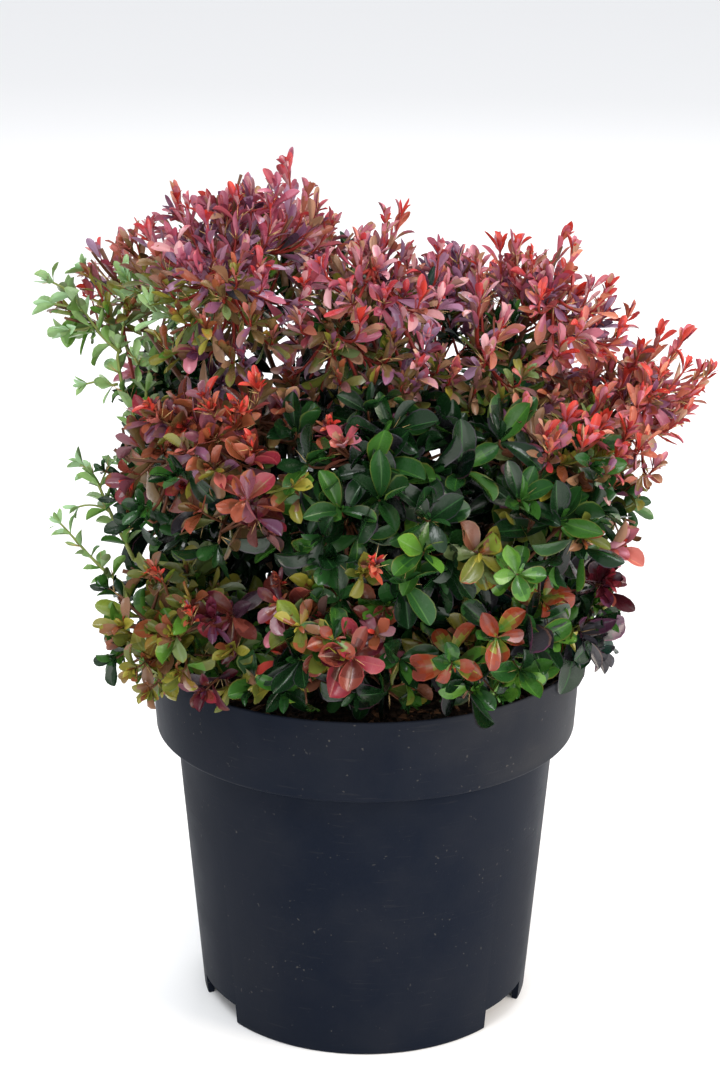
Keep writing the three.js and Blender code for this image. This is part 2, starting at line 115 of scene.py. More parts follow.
def table(text):
    """Rows of words and numbers from a text whose rows are parted by semicolons."""
    def read(word):
        return float(word) if word.strip("-.0123456789") == "" else word

    return [[read(word) for word in row.split()] for row in text.split(";")]


# %% [markdown]
# ## Writing finishes as sums
# A finish is a small network of shader nodes. It reads best as arithmetic, so one small class
# wraps a socket: adding or multiplying two of them adds a Math node, and one method makes any
# other node from its type, what goes into its sockets, and its settings.

# %% A socket that can be added and multiplied
class Signal:
    def __init__(self, tree, socket=None):
        self.tree, self.socket = tree, socket

    def node(self, kind, values, output=0, **settings):
        """Adds a node, makes its settings, then fills its sockets with values or links."""
        node = self.tree.nodes.new(kind)
        for name, value in settings.items():
            setattr(node, name, value)
        for name, value in values.items():
            if isinstance(value, Signal):
                self.tree.links.new(value.socket, node.inputs[name])
            else:
                node.inputs[name].default_value = value
        return Signal(self.tree, node.outputs[output])

    def maths(self, operation, *terms):
        return self.node("ShaderNodeMath", dict(enumerate(terms)), operation=operation)

    def __add__(self, other):
        return self.maths("ADD", self, other)

    def __rsub__(self, other):
        return self.maths("SUBTRACT", other, self)

    def __mul__(self, other):
        return self.maths("MULTIPLY", self, other)

    def along(self, axis):
        """The Object coordinate, in metres, along X, Y or Z: 0, 1 or 2."""
        place = self.node("ShaderNodeTexCoord", {}, output=3)
        return self.node("ShaderNodeSeparateXYZ", {"Vector": place}, output=axis)

    def noise(self, scale, detail=3.0, roughness=0.55, stretch=None):
        """Noise on Object coordinates, from 0 to 1, with so many waves to the metre."""
        place = self.node("ShaderNodeTexCoord", {}, output=3)
        if stretch:
            place = self.node("ShaderNodeMapping", {"Vector": place, "Scale": stretch})
        values = {"Vector": place, "Scale": scale, "Detail": detail, "Roughness": roughness}
        return self.node("ShaderNodeTexNoise", values)

    def between(self, low, high):
        """How far the number has come from low to high, from 0 to 1."""
        share = self.node("ShaderNodeValToRGB", {"Fac": self})
        first, last = share.socket.node.color_ramp.elements
        first.position, last.position = low, high
        return share

    def blend(self, first, second):
        """One colour going over into another as the number goes from 0 to 1."""
        return self.node("ShaderNodeMix", {0: self, 6: first, 7: second}, 2, data_type="RGBA")

    def feed(self, socket, signal):
        """Puts a signal into the material's shader."""
        self.tree.links.new(signal.socket, self.tree.nodes["Principled BSDF"].inputs[socket])

    def bump(self, height, strength, distance):
        """A bump: the height field tilts the surface's normal, by so much for so many metres."""
        values = {"Height": height, "Strength": strength, "Distance": distance}
        self.feed("Normal", self.node("ShaderNodeBump", values))


def linear(shade):
    """A screen colour, 0 to 255 for red, green and blue, as the linear colour of a shader:
    each share is raised to the power 2.2."""
    return tuple((channel / 255) ** 2.2 for channel in shade) + (1.0,)


def finish(name, shade, roughness, specular):
    """A plain Principled material and the Signal that adds nodes to it."""
    material = bpy.data.materials.new(name)
    material.use_nodes = True
    shader = material.node_tree.nodes["Principled BSDF"]
    shader.inputs["Base Color"].default_value = linear(shade)
    shader.inputs["Roughness"].default_value = roughness
    shader.inputs["Specular IOR Level"].default_value = specular
    return material, Signal(material.node_tree)


# %% [markdown]
# ## The camera
# The photograph was taken from a little above, with a long lens. The camera stands where the
# rim, the collar and the foot of the pot all fall in their places, and it looks at the middle
# of the plant. The same numbers also turn a place in the photograph into a point in space, once
# its depth is chosen, which later puts a shoot where it is seen.

# %% Set up the camera
PHOTO_WIDTH, PHOTO_HEIGHT = 720, 1079
FOCAL_PIXELS = 2292.4
SENSOR = 36.0
CAMERA_DISTANCE = 1000.0
CAMERA_TARGET = np.array([-2.7, 0.0, 211.4])
CAMERA_RISE, CAMERA_ROLL = math.radians(18.11), math.radians(0.21)

view_right = np.array([1.0, 0.0, 0.0])
view_ahead = np.array([0.0, math.cos(CAMERA_RISE), -math.sin(CAMERA_RISE)])
view_up = np.cross(view_right, view_ahead)
camera_place = CAMERA_TARGET - CAMERA_DISTANCE * view_ahead


def seen_at(u, v, y):
    """The point that is seen at pixel (u, v) and lies at depth y: the pixel is turned back by
    the camera's roll, and the line of sight through it is followed until it reaches y."""
    across, down = u - PHOTO_WIDTH / 2, v - PHOTO_HEIGHT / 2
    cos, sin = math.cos(CAMERA_ROLL), math.sin(CAMERA_ROLL)
    across, down = cos * across + sin * down, cos * down - sin * across
    sight = FOCAL_PIXELS * view_ahead + across * view_right - down * view_up
    return camera_place + sight * (y - camera_place[1]) / sight[1]


camera_data = bpy.data.cameras.new("camera")
camera_data.lens = FOCAL_PIXELS * SENSOR / PHOTO_HEIGHT
camera_data.sensor_width = SENSOR
camera = bpy.data.objects.new("camera", camera_data)
bpy.context.scene.collection.objects.link(camera)
turn = Matrix(np.column_stack([view_right, view_up, -view_ahead]).tolist())
roll = Matrix.Rotation(CAMERA_ROLL, 3, "Z")
camera.matrix_world = Matrix.Translation((camera_place * MM).tolist()) @ (turn @ roll).to_4x4()
bpy.context.scene.camera = camera
bpy.context.scene.view_settings.view_transform = "Standard"
print("lens, mm:", round(camera_data.lens, 2))

# %% [markdown]
# ## Light and floor
# The plant was photographed in soft, even daylight. Large area lights and a pale sky give the
# same: a key light at the upper left, which puts the soft shine on the leaves, a slightly warm
# one at the right, one behind, so that the back is as easy to see as the front, and one low in
# front with little shine, for the light that the ground throws back. The floor is a plain pale
# sheet, wide enough for the plant to be looked at from any side.

# %% Light the scene and lay the floor
LIGHTS = {
    "key": dict(at=(-0.6, -1.0, 2.2), size=0.8, energy=25, color=(0.96, 0.98, 1.0)),
    "fill": dict(at=(1.7, -0.8, 1.1), size=1.0, energy=33, color=(1.0, 0.89, 0.77)),
    "back": dict(at=(0.4, 1.6, 1.7), size=1.2, energy=18, color=(1.0, 1.0, 1.0)),
    "bounce": dict(at=(0.2, -1.8, 0.35), size=1.4, energy=13, color=(1.0, 0.98, 0.94), shine=0.15),
}
MIDDLE = np.array([0.0, 0.0, 0.2])
SKY_STRENGTH = 0.93  # straight up; to the right and behind the plant it is this much more
SKY_SLOPE = (0.17, 0.1, 0.0)
SKY_COLOUR = (0.955, 0.97, 1.0, 1)
FLOOR_HALF = 30000.0


def area_light(name, at, size, energy, color, shine=1.0):
    """A square lamp at a place, turned to face the middle of the plant."""
    data = bpy.data.lights.new(name, "AREA")
    data.size, data.energy, data.color, data.specular_factor = size, energy, color, shine
    lamp = bpy.data.objects.new(name, data)
    bpy.context.scene.collection.objects.link(lamp)
    away = unit(at - MIDDLE)
    side = unit(np.cross([0, 0, 1], away))
    facing = Matrix(np.column_stack([side, np.cross(away, side), away]).tolist())
    lamp.matrix_world = Matrix.Translation(at) @ facing.to_4x4()


for name, settings in LIGHTS.items():
    area_light(name, **settings)

world = bpy.data.worlds.new("pale sky")
world.use_nodes = True
background = world.node_tree.nodes["Background"]
background.inputs["Color"].default_value = SKY_COLOUR
sky = Signal(world.node_tree)
coordinates = sky.node("ShaderNodeTexCoord", {})
toward = sky.node("ShaderNodeVectorMath", {0: coordinates, 1: SKY_SLOPE}, "Value", operation="DOT_PRODUCT")
world.node_tree.links.new((toward + SKY_STRENGTH).socket, background.inputs["Strength"])
bpy.context.scene.world = world
print("lights:", len(LIGHTS))

floor_finish, _ = finish("pale floor", (246, 246, 246), 0.95, 0.1)
corners = np.array([[-1, -1, 0], [1, -1, 0], [1, 1, 0], [-1, 1, 0]]) * FLOOR_HALF
floor = piece("floor", corners, [[0, 1, 2, 3]], [floor_finish])

# %% [markdown]
# ## The pot
# A nursery pot is moulded from thin black plastic: a tapered body, a wider collar that stiffens
# the top, and a raised floor on a skirt with three notches that let the water out. It is round,
# so its section is drawn once, with small arcs at the lip, the collar and the foot, and carried
# round the middle. The notches are then cut out of the skirt with three blocks.

# %% Sizes of the pot, as in the CAD
POT_HEIGHT, RIM_RADIUS, WALL = 164.5, 95.0, 1.5
BAND_FOOT, BAND_FOOT_RADIUS, BAND_ROUNDING = 128.0, 93.0, 1.8
BODY_TOP_RADIUS, BASE_RADIUS = 84.3, 74.0
FLOOR_LEVEL, FLOOR_THICK, SKIRT, FOOT_ROUNDING = 10.0, 2.0, 3.0, 1.2
NOTCH_WIDTH, NOTCH_HEIGHT, NOTCH_DEPTH = 31.0, 9.6, 14.0
NOTCH_TURNS = [math.radians(degrees) for degrees in (-32, 88, 208)]
POT_SIDES = 192
FILLET, FILLET_STEP = 1.2, 0.1  # the slope under the collar
SMOOTH_BELOW = math.radians(38)  # edges that turn by more stay sharp
WELD_DISTANCE = 0.001
CUBE = np.array([[x, y, z] for x in (-1, 1) for y in (-1, 1) for z in (-1, 1)]) / 2
CUBE_FACES = [[0, 1, 3, 2], [4, 6, 7, 5], [0, 4, 5, 1], [2, 3, 7, 6], [0, 2, 6, 4], [1, 5, 7, 3]]


def arc(centre, radius, first, last, steps=5):
    """Points on a circle from one angle to another, in degrees: the centre plus the radius
    times cosine and sine."""
    angles = np.radians(np.linspace(first, last, steps))
    return [(centre[0] + radius * math.cos(a), centre[1] + radius * math.sin(a)) for a in angles]


def turned(profile, sides):
    """A profile of (radius, height) pairs carried round Z: each point of the section at each
    turn is (radius cos turn, radius sin turn, height)."""
    profile = np.array(profile)
    turns = np.arange(sides) * 2 * math.pi / sides
    radius, height = profile[:, :1], profile[:, 1:]
    ring = [radius * np.cos(turns), radius * np.sin(turns), height + 0 * turns]
    return np.stack(ring, -1).reshape(-1, 3), grid_faces(len(profile), sides, closed=True)


def weld(made):
    """Joins points that fall on each other, which closes a pole, and turns faces outwards."""
    work = bmesh.new()
    work.from_mesh(made.data)
    bmesh.ops.remove_doubles(work, verts=work.verts, dist=WELD_DISTANCE * MM)
    bmesh.ops.recalc_face_normals(work, faces=work.faces)
    work.to_mesh(made.data)
    work.free()


def pot_section():
    """The pot's section as (radius, height) pairs: up the outside from the middle of the raised
    floor's underside, round the lip, and down the inside to the middle of the floor."""
    draft = (BODY_TOP_RADIUS - BASE_RADIUS) / BAND_FOOT
    floor_radius, floor_top = BASE_RADIUS + draft * FLOOR_LEVEL - WALL, FLOOR_LEVEL + FLOOR_THICK
    shelf, lip = BAND_FOOT + WALL, WALL / 2
    foot = (BASE_RADIUS - FOOT_ROUNDING, FOOT_ROUNDING)
    band = (BAND_FOOT_RADIUS - BAND_ROUNDING, BAND_FOOT + BAND_ROUNDING)
    return [
        (0, FLOOR_LEVEL), (BASE_RADIUS - SKIRT, FLOOR_LEVEL), (BASE_RADIUS - SKIRT, 0.0),
        *arc(foot, FOOT_ROUNDING, -90, -5),
        (BODY_TOP_RADIUS - FILLET_STEP, BAND_FOOT - FILLET), (BODY_TOP_RADIUS + FILLET, BAND_FOOT),
        *arc(band, BAND_ROUNDING, -90, -3),
        *arc((RIM_RADIUS - lip, POT_HEIGHT - lip), lip, -3, 183, 9),
        (BAND_FOOT_RADIUS - WALL, shelf + BAND_ROUNDING),
        (BAND_FOOT_RADIUS - WALL - BAND_ROUNDING, shelf), (BODY_TOP_RADIUS - WALL, shelf),
        (floor_radius, floor_top), (0, floor_top),
    ]


# %% Turn the pot and cut its notches
def notch_block(turn):
    """A block that reaches through the skirt, turned about Z."""
    cube = CUBE * 2 * [NOTCH_DEPTH, NOTCH_WIDTH / 2, NOTCH_HEIGHT] + [BASE_RADIUS, 0, 0]
    cos, sin = math.cos(turn), math.sin(turn)
    cube = cube @ np.array([[cos, sin, 0], [-sin, cos, 0], [0, 0, 1]])
    return piece("notch_block", cube, CUBE_FACES)


def pot_finish():
    """Dull black plastic, a little blue: fine moulded grain, faint pale dust that has settled in patches,
    small specks, and light scratches that run round the body. The collar's right side is also painted
    lighter and warmer: a painted sheen for the warm light that falls on it there."""
    material, make = finish("pot plastic", (24, 28, 37), 0.5, 0.04)
    smudge = make.noise(26.0, 4.0).between(0.38, 0.72)
    specks = make.noise(520.0, 1.0).between(0.71, 0.76)
    rare = make.noise(60.0, 2.0).between(0.50, 0.62)
    scratches = make.noise(60.0, 3.0, stretch=(1, 1, 14)).between(0.63, 0.70)
    # painted sheen: the collar grows lighter and warmer towards its right side, for the warm light that
    # falls there
    painted_light_right = (make.along(0) * 10).between(0.1, 0.75)
    painted_light_collar = (make.along(2) * 5).between(0.62, 0.66)
    dust_and_painted_light = smudge * 0.05 + specks * rare * 0.5 + scratches * 0.05
    # real dust, specks and scratches, plus the painted sheen on the right of the collar
    dust_and_painted_light = dust_and_painted_light + painted_light_right * painted_light_collar * (smudge * 0.08 + 0.1)
    make.feed("Base Color", dust_and_painted_light.blend(linear((24, 29, 39)), linear((92, 90, 86))))
    make.feed("Roughness", smudge * 0.14 + scratches * 0.08 + 0.42)
    make.bump(make.noise(900.0, 2.0) + scratches * 0.5, 0.12, 0.0003)
    return material


points, faces = turned(pot_section(), POT_SIDES)
pot = piece("nursery_pot", points, faces, [pot_finish()], slot="pot_plastic", replaces=["pot"])
weld(pot)
blocks = [notch_block(turn) for turn in NOTCH_TURNS]
for block in blocks:
    weld(block)
    cut = pot.modifiers.new("notch", "BOOLEAN")
    cut.object, cut.operation, cut.solver = block, "DIFFERENCE", "EXACT"
graph = bpy.context.evaluated_depsgraph_get()
shaped = bpy.data.meshes.new_from_object(pot.evaluated_get(graph))
pot.modifiers.clear()
pot.data = shaped
for block in blocks:
    bpy.data.objects.remove(block)
shaped.polygons.foreach_set("use_smooth", np.full(len(shaped.polygons), True))
shaped.set_sharp_from_angle(angle=SMOOTH_BELOW)
print("pot after cutting:", len(shaped.polygons), "faces")

# %% [markdown]
# ## The potting mix
# Fine dark peat with crumbs and slivers of bark lies a little below the rim, and is mounded
# round the stem. Its top is a round grid whose height is the mound plus three sizes of
# ripples; the crumbs and slivers are small blocks with their corners moved, which lie on it.

# %% Shape the potting mix
MIX_EDGE, MIX_MOUND, MIX_FLAT_RADIUS, MIX_SETTLED = 152.5, 4.0, 15.0, 0.8
MIX_RADIUS, MIX_BOTTOM = 92.3, 120.0
MIX_RINGS, MIX_SPOKES, RING_POWER, MOUND_POWER = 72, 280, 0.8, 0.7
MIX_INSET, MIX_SHOULDER, NECK_SHARE, NECK_DROP = 1.2, 6.0, 0.88, 5.0  # under the collar's shelf
RIPPLES = ((0.9, 1, 22), (0.7, 2, 9), (0.45, 3, 4))  # height, seed and wavelength


def mix_height(x, y):
    """The mound, from its flat top down to the edge as a power of the way, plus ripples."""
    way = np.clip((MIX_RADIUS - np.hypot(x, y)) / (MIX_RADIUS - MIX_FLAT_RADIUS), 0, 1)
    spot = np.stack([x, y, 0 * x], -1)
    rough = sum(height * ripple(spot, seed, wavelength) for height, seed, wavelength in RIPPLES)
    return MIX_EDGE - MIX_SETTLED + MIX_MOUND * way**MOUND_POWER + rough


def mix_finish():
    material, make = finish("potting mix", (26, 20, 16), 0.95, 0.25)
    crumbs = make.noise(420.0, 4.0).between(0.45, 0.68)
    damp = make.noise(40.0, 2.0)
    make.feed("Base Color", crumbs.blend(linear((17, 13, 11)), linear((64, 48, 36))))
    make.feed("Roughness", 1.0 - damp * 0.25)
    make.bump(crumbs + make.noise(1300.0), 0.7, 0.0008)
    return material


def chip_finish(name, dark, pale):
    material, make = finish(name, dark, 0.9, 0.3)
    streaks = make.noise(300.0, 3.0, stretch=(1, 1, 3)).between(0.35, 0.7)
    make.feed("Base Color", streaks.blend(linear(dark), linear(pale)))
    make.bump(streaks, 0.5, 0.0005)
    return material


ring = np.linspace(0, 1, MIX_RINGS)[:, None] ** RING_POWER * MIX_RADIUS
spoke = np.arange(MIX_SPOKES) * 2 * math.pi / MIX_SPOKES
mix_x, mix_y = ring * np.cos(spoke), ring * np.sin(spoke)
top = np.stack([mix_x, mix_y, mix_height(mix_x, mix_y)], -1)
inside = (BAND_FOOT_RADIUS - WALL - MIX_INSET) / MIX_RADIUS
lower = top[-1] * [inside, inside, 0] + [0, 0, BAND_FOOT + MIX_SHOULDER]
neck = lower * [NECK_SHARE, NECK_SHARE, 1] - [0, 0, NECK_DROP]
bottom = neck * [1, 1, 0] + [0, 0, MIX_BOTTOM]
points = np.concatenate([top, [lower, neck, bottom, bottom * [0, 0, 1]]])
faces = grid_faces(len(points), MIX_SPOKES, closed=True)
mix = piece("potting_mix_top", points, faces, [mix_finish()], slot="potting_mix", replaces=["potting_mix"])
weld(mix)

# %% Scatter crumbs and slivers of bark on it
BLOCK_MARGIN, STEM_AREA = 3, 0.02  # left free: millimetres at the edge, a share of the area inside
CORNER_MOVES, BLOCK_TIP, BLOCK_RISE = (0.55, 1.2), 0.25, 0.25


def blocks_on_mix(count, low, high, flatness, seed):
    """Small blocks with moved corners, each turned about Z and tipped a little, and sunk into
    the mix: the corners of a cube times the block's size, each times a random part."""
    rng = np.random.default_rng(seed)
    radius = (MIX_RADIUS - BLOCK_MARGIN) * np.sqrt(rng.uniform(STEM_AREA, 1, count))
    turn, spin = rng.uniform(0, 2 * math.pi, (2, count))
    size = rng.uniform(low, high, (count, 3)) * flatness
    corners = CUBE * size[:, None] * rng.uniform(*CORNER_MOVES, (count, 8, 3))
    tip = rng.normal(0, BLOCK_TIP, (count, 2))
    corners[..., 2] += (corners[..., :2] * tip[:, None]).sum(-1)
    cos, sin = np.cos(spin)[:, None], np.sin(spin)[:, None]
    at_x, at_y = radius * np.cos(turn), radius * np.sin(turn)
    x = corners[..., 0] * cos - corners[..., 1] * sin + at_x[:, None]
    y = corners[..., 0] * sin + corners[..., 1] * cos + at_y[:, None]
    z = corners[..., 2] + mix_height(at_x, at_y)[:, None] + BLOCK_RISE * size[:, 2:]
    return np.stack([x, y, z], -1), copies(CUBE_FACES, count, 8)


CHIPS = {  # name: how many, sizes from and to, flatness, seed, the finish's name, dark and pale
    "peat_crumbs": (1500, 1.2, 3.4, [1, 1, 0.7], 11, "peat crumbs", (30, 22, 17), (58, 42, 30)),
    "bark_slivers": (260, 2.5, 6.5, [1.7, 0.6, 0.25], 12, "bark slivers", (70, 47, 33), (122, 88, 62)),
}
for name, (*sizes, finish_name, dark, pale) in CHIPS.items():
    chip = chip_finish(finish_name, dark, pale)
    piece(name, *blocks_on_mix(*sizes), [chip], smooth=False, slot="potting_mix")

# %% [markdown]
# ## The plan of the crown
# The source grows one bough from the stem to each of 23 masses of foliage. The same plan and
# the same rule are written again here, so that the fine growth starts from the same limbs and
# keeps to the same spaces: each mass has the room within its reach, on its own side of the
# planes that part it from its neighbours, and clear of the pot.

# %% The masses, as in the source
# Each row: name, piece, middle, reach, rise, lowest level outside the rim or 0, how far its shoots
# are held back, their share, ramps of its upper and outer sprays / of its lower and inner ones
MASSES = table("""
top_far_left left -102 24 306 47 43 0 9 0.7 bronze straw crimson fresh / fresh straw fresh;
top_left left -52 -18 329 48 52 0 5 1 crimson rose plum / moss leafy straw moss;
top_middle middle 4 -28 312 46 50 0 5 1 rose crimson rose blush / bronze moss leafy moss;
top_right middle 65 -14 302 49 50 0 5 1 rose scarlet crimson / bronze moss leafy moss;
top_far_right right 104 -18 268 47 44 0 5 1 scarlet rose scarlet / scarlet bronze straw;
top_back_left back -34 44 310 50 50 0 3 1 crimson plum rose / bronze deep;
top_back_right back 34 46 292 50 47 0 2 1 crimson rose scarlet / bronze deep;
middle_front_left front -58 -60 260 48 46 0 5 1 sunset sunset moss sunset / deep moss dusk;
middle_front front 2 -74 250 47 46 0 0 1 deep deep leafy / deep deep leafy;
middle_front_right right 62 -56 246 48 46 0 0 1 leafy straw moss leafy / deep leafy;
middle_left back -84 -12 236 42 42 0 16 0.6 leafy fresh fresh / deep fresh leafy;
middle_right right 90 17 222 42 40 0 10 1 bronze straw moss leafy / leafy deep straw;
middle_back_left back -74 60 252 46 46 0 6 1 bronze plum leafy / deep leafy;
middle_back back -4 77 248 47 46 0 0 1 bronze plum rose / deep leafy;
middle_back_right back 68 62 242 48 46 0 0 1 bronze plum scarlet / deep leafy;
low_front_left front -70 -54 190 46 46 148 9 1 amber straw amber meadow / amber meadow leafy;
low_front front -14 -70 190 44 42 0 0 1 leafy amber amber sunset / leafy straw deep;
low_front_right front 44 -62 190 44 42 0 0 1 leafy meadow dusk straw / leafy deep;
low_right front 79 -20 186 40 40 156 13 1 leafy dusk meadow straw / leafy dusk;
low_back_right back 64 54 188 46 40 0 0 1 leafy amber deep / deep dusk;
low_back back 12 75 188 46 40 152 0 1 sunset deep leafy / deep leafy;
low_back_left back -58 60 188 46 40 0 10 1 amber leafy / deep leafy;
low_left back -80 4 188 40 38 156 15 1 leafy deep / deep deep
""")
LIFT = {"shoots": 0.75, "rosettes": 0.1}  # how much the twigs of each habit turn up
STEM_FOOT, STEM_HEIGHT, STEM_LEAN = 156.8, 34.0, np.array([1.6, -1.2])
STEM_FOOT_RADIUS, STEM_RADIUS, STEM_TOP_RADIUS = 11.5, 7.6, 6.2
BOUGH_ROOT_RADIUS, BOUGH_TIP_RADIUS, BOUGH_RISE, BOUGH_ENTRY = 1.9, 1.25, math.radians(25), 0.8
TWIG_TIP_RADIUS, SIDE_TWIGS, GOLDEN_TURN = 0.6, 6, math.radians(137.5)
GAP, STEM_GAP, NEIGHBOUR_GAP = 0.3, 0.4, 0.5
RIM_CLEARANCE, HANG_CLEARANCE, WALL_ZONE = 3.0, 6.0, 12.0
LOWEST_BOUGH, HIGHEST_BOUGH = 0.16, 0.93  # shares of the stem's height
LEAST_CLIMB, CLIMB_RANGE = 0.15, 0.75  # of a mass as seen from the stem's foot, in right angles
BOUGH_HANDLE = 0.3  # the length of the curve's handles, as a share of its span
MIX_TOP = MIX_EDGE + MIX_MOUND
UP = np.array([0.0, 0.0, 1.0])
FIRST_SEED, SEED_STEP = 101, 17


def stem_share(height):
    """How far up the stem a height is, from 0 at its foot to 1 at its top."""
    return min(max((height - STEM_FOOT) / STEM_HEIGHT, 0.0), 1.0)


def stem_axis(height):
    return np.array([*(STEM_LEAN * stem_share(height)), height])


def stem_radius(height):
    """The taper from foot to top, plus a flare that dies away as exp(-9 share)."""
    flare = (STEM_FOOT_RADIUS - STEM_RADIUS) * math.exp(-9 * stem_share(height))
    return lerp(STEM_RADIUS, STEM_TOP_RADIUS, stem_share(height)) + flare


crown_foot = stem_axis(STEM_FOOT + STEM_HEIGHT / 2)
masses = []
for index, (name, part, x, y, z, reach, rise, hang, held_back, share, *sprays) in enumerate(MASSES):
    centre, level = np.array([x, y, z]), name.split("_")[0]
    masses.append(dict(
        name=name, piece=f"{level}_{part}", level=level, index=index, centre=centre, reach=reach,
        radii=np.array([reach, reach, rise]), habit="shoots" if level == "top" else "rosettes",
        hang=hang or POT_HEIGHT + RIM_CLEARANCE + HANG_CLEARANCE, held_back=held_back,
        shoot_share=share, upper=sprays[:sprays.index("/")], lower=sprays[sprays.index("/") + 1:],
        seed=FIRST_SEED + SEED_STEP * index,
        outward=unit((centre - crown_foot) * [1, 1, 0]), inward=unit(crown_foot - centre)))
for mass in masses:
    others = [other for other in masses if other is not mass]
    apart = np.array([other["centre"] - mass["centre"] for other in others])
    span = np.linalg.norm(apart, axis=1)
    reaches = np.array([other["reach"] for other in others])
    mass["toward"] = apart / span[:, None]
    mass["limits"] = span / 2 + (mass["reach"] ** 2 - reaches**2) / (2 * span) - NEIGHBOUR_GAP


def over_pot(points, hang, clearance=RIM_CLEARANCE):
    """Whether points are above the mix inside the pot, above the rim over the wall, and above
    the lowest level that a hanging spray may reach outside it."""
    radius = np.hypot(points[:, 0], points[:, 1])
    floor = np.where(radius > RIM_RADIUS - WALL_ZONE, POT_HEIGHT + clearance, MIX_TOP + clearance)
    return points[:, 2] > np.where(radius > RIM_RADIUS + clearance, hang, floor)


def in_space(points, mass, slack=(0.0, 0.0)):
    """Whether points are in a mass's own space, with its round shell and its planes moved out
    by the two slacks."""
    points = np.atleast_2d(points)
    away = points - mass["centre"]
    inside = np.linalg.norm(away / (mass["radii"] + slack[0]), axis=1) <= 1
    inside &= (away @ mass["toward"].T <= mass["limits"] + slack[1]).all(1)
    return inside & over_pot(points, mass["hang"])


def space_reach(mass, heading, start=None, most=110, slack=(0.0, 0.0)):
    """How far the space reaches along a heading: the number of whole steps of 1 mm, from the
    centre or another start, before the first that is outside."""
    start = mass["centre"] if start is None else start
    outside = ~in_space(start + np.arange(1, most)[:, None] * heading, mass, slack)
    return int(np.argmax(outside)) if outside.any() else most


def bernstein(t, degree):
    """The weights of a Bezier curve's controls: n over k, times t^k, times (1 - t)^(n - k)."""
    return [math.comb(degree, k) * t**k * (1 - t) ** (degree - k) for k in range(degree + 1)]


def curve(controls, t):
    """Points on a Bezier curve: the sum of the controls, each times its weight."""
    weights = bernstein(np.asarray(t, float)[..., None], len(controls) - 1)
    return sum(weight * np.asarray(control, float) for weight, control in zip(weights, controls))


def slope(controls, t):
    """The curve's direction, from the curve of the steps between its controls."""
    return unit(curve(np.diff(np.asarray(controls, float), axis=0), t))


def bough_controls(mass, start_rise):
    """A cubic curve from the stem's side to the inner edge of the mass, which it meets head
    on. It leaves low on the stem for a low mass, and high for a high one."""
    away = math.hypot(*mass["centre"][:2])
    climb = math.atan2(mass["centre"][2] - STEM_FOOT, away) / (math.pi / 2)
    share = min(max((climb - LEAST_CLIMB) / CLIMB_RANGE, 0), 1)
    share = lerp(LOWEST_BOUGH, HIGHEST_BOUGH, share * share * (3 - 2 * share))
    level = STEM_FOOT + STEM_HEIGHT * share
    heading = mass["outward"] * math.cos(BOUGH_RISE) + UP * math.sin(BOUGH_RISE)
    inset, half = BOUGH_ROOT_RADIUS * math.sin(start_rise), BOUGH_ROOT_RADIUS * math.cos(start_rise)
    out = max(stem_radius(level + half) + inset, stem_radius(level - half) - inset) + GAP
    root, inlet = stem_axis(level) + mass["outward"] * out, mass["inlet"]
    span = np.linalg.norm(root - inlet)
    leave, enter = heading * span * BOUGH_HANDLE, mass["inward"] * span * BOUGH_HANDLE
    return [root, root + leave, inlet + enter, inlet]


for mass in masses:
    edge = space_reach(mass, mass["inward"])
    mass["inlet"] = mass["centre"] + mass["inward"] * edge * BOUGH_ENTRY
    first, second = curve(bough_controls(mass, BOUGH_RISE), [0, 0.25])
    mass["bough"] = bough_controls(mass, math.asin(unit(second - first)[2]))
print("masses:", len(masses), "first inlet, mm:", masses[0]["inlet"].round(1))

# %% [markdown]
# ## Limbs
# A limb is a round tube: rings of points carried along its line without twisting, and closed at
# both ends. The stem and the boughs get bark with a real relief, lengthwise ridges that break
# and join, made by moving each point in or out along its own ring. They replace the plain
# limbs of the CAD model, and run a little into each other where those stop short.

# %% Tubes along lines
def tubes(paths, radii, sides):
    """Closed tubes along many lines at once. Ring k of a line is its point plus the radius
    times (cosine of the turn times across + sine times aside), where across and aside are
    square to the line, and the caps are fans of four-cornered faces."""
    paths, radii = np.asarray(paths, float), np.asarray(radii, float)
    count, rings = radii.shape
    along = unit(np.gradient(paths, axis=1))
    mean = unit(paths[:, -1] - paths[:, 0])
    least = np.eye(3)[np.abs(mean).argmin(1)]
    across = unit(np.cross(mean, least))[:, None] * np.ones((1, rings, 1))
    across = unit(across - (across * along).sum(-1, keepdims=True) * along)
    aside = np.cross(along, across)
    turns = np.arange(sides) * 2 * math.pi / sides
    ring = across[:, :, None] * np.cos(turns)[:, None] + aside[:, :, None] * np.sin(turns)[:, None]
    points = paths[:, :, None] + radii[:, :, None, None] * ring
    wall = grid_faces(rings, sides, closed=True)[:, ::-1]
    fan = np.array([[0, k, k + 1, k + 2] for k in range(1, sides - 2, 2)])
    faces = np.concatenate([wall, fan[:, ::-1], fan + (rings - 1) * sides])
    return points, ring, copies(faces, count, rings * sides)


def bark_finish():
    """Grey-brown bark, darker in its cracks, with a greenish film in patches."""
    material, make = finish("bark", (94, 72, 56), 0.88, 0.25)
    streaks = make.noise(260.0, 5.0, 0.65, stretch=(1, 1, 0.22)).between(0.36, 0.66)
    patch = make.noise(70.0, 2.0).between(0.45, 0.62)
    shade = streaks.blend(linear((52, 38, 29)), linear((128, 103, 82)))
    make.feed("Base Color", (patch * 0.35).blend(shade, linear((92, 92, 66))))
    make.bump(streaks + make.noise(900.0) * 0.4, 0.6, 0.0007)
    return material


# %% The stem and the boughs
STEM_RINGS, STEM_SIDES, BOUGH_RINGS, BOUGH_SIDES = 70, 36, 26, 10
STEM_OVERRUN, STEM_ROUNDING = 2.5, 4.0  # how far the stem goes on at each end, and its round top
BOUGH_RUN_IN, BOUGH_RUN_ON, BOUGH_COLLAR = 4.5, STEM_GAP + 1.0, 1.5
STEM_RIDGES, STEM_SWELLS, STEM_SUNK = 0.55, 0.5, 0.2  # heights of the bark's relief
BOUGH_RIDGES, BOUGH_SWELLS = 0.22, 0.28

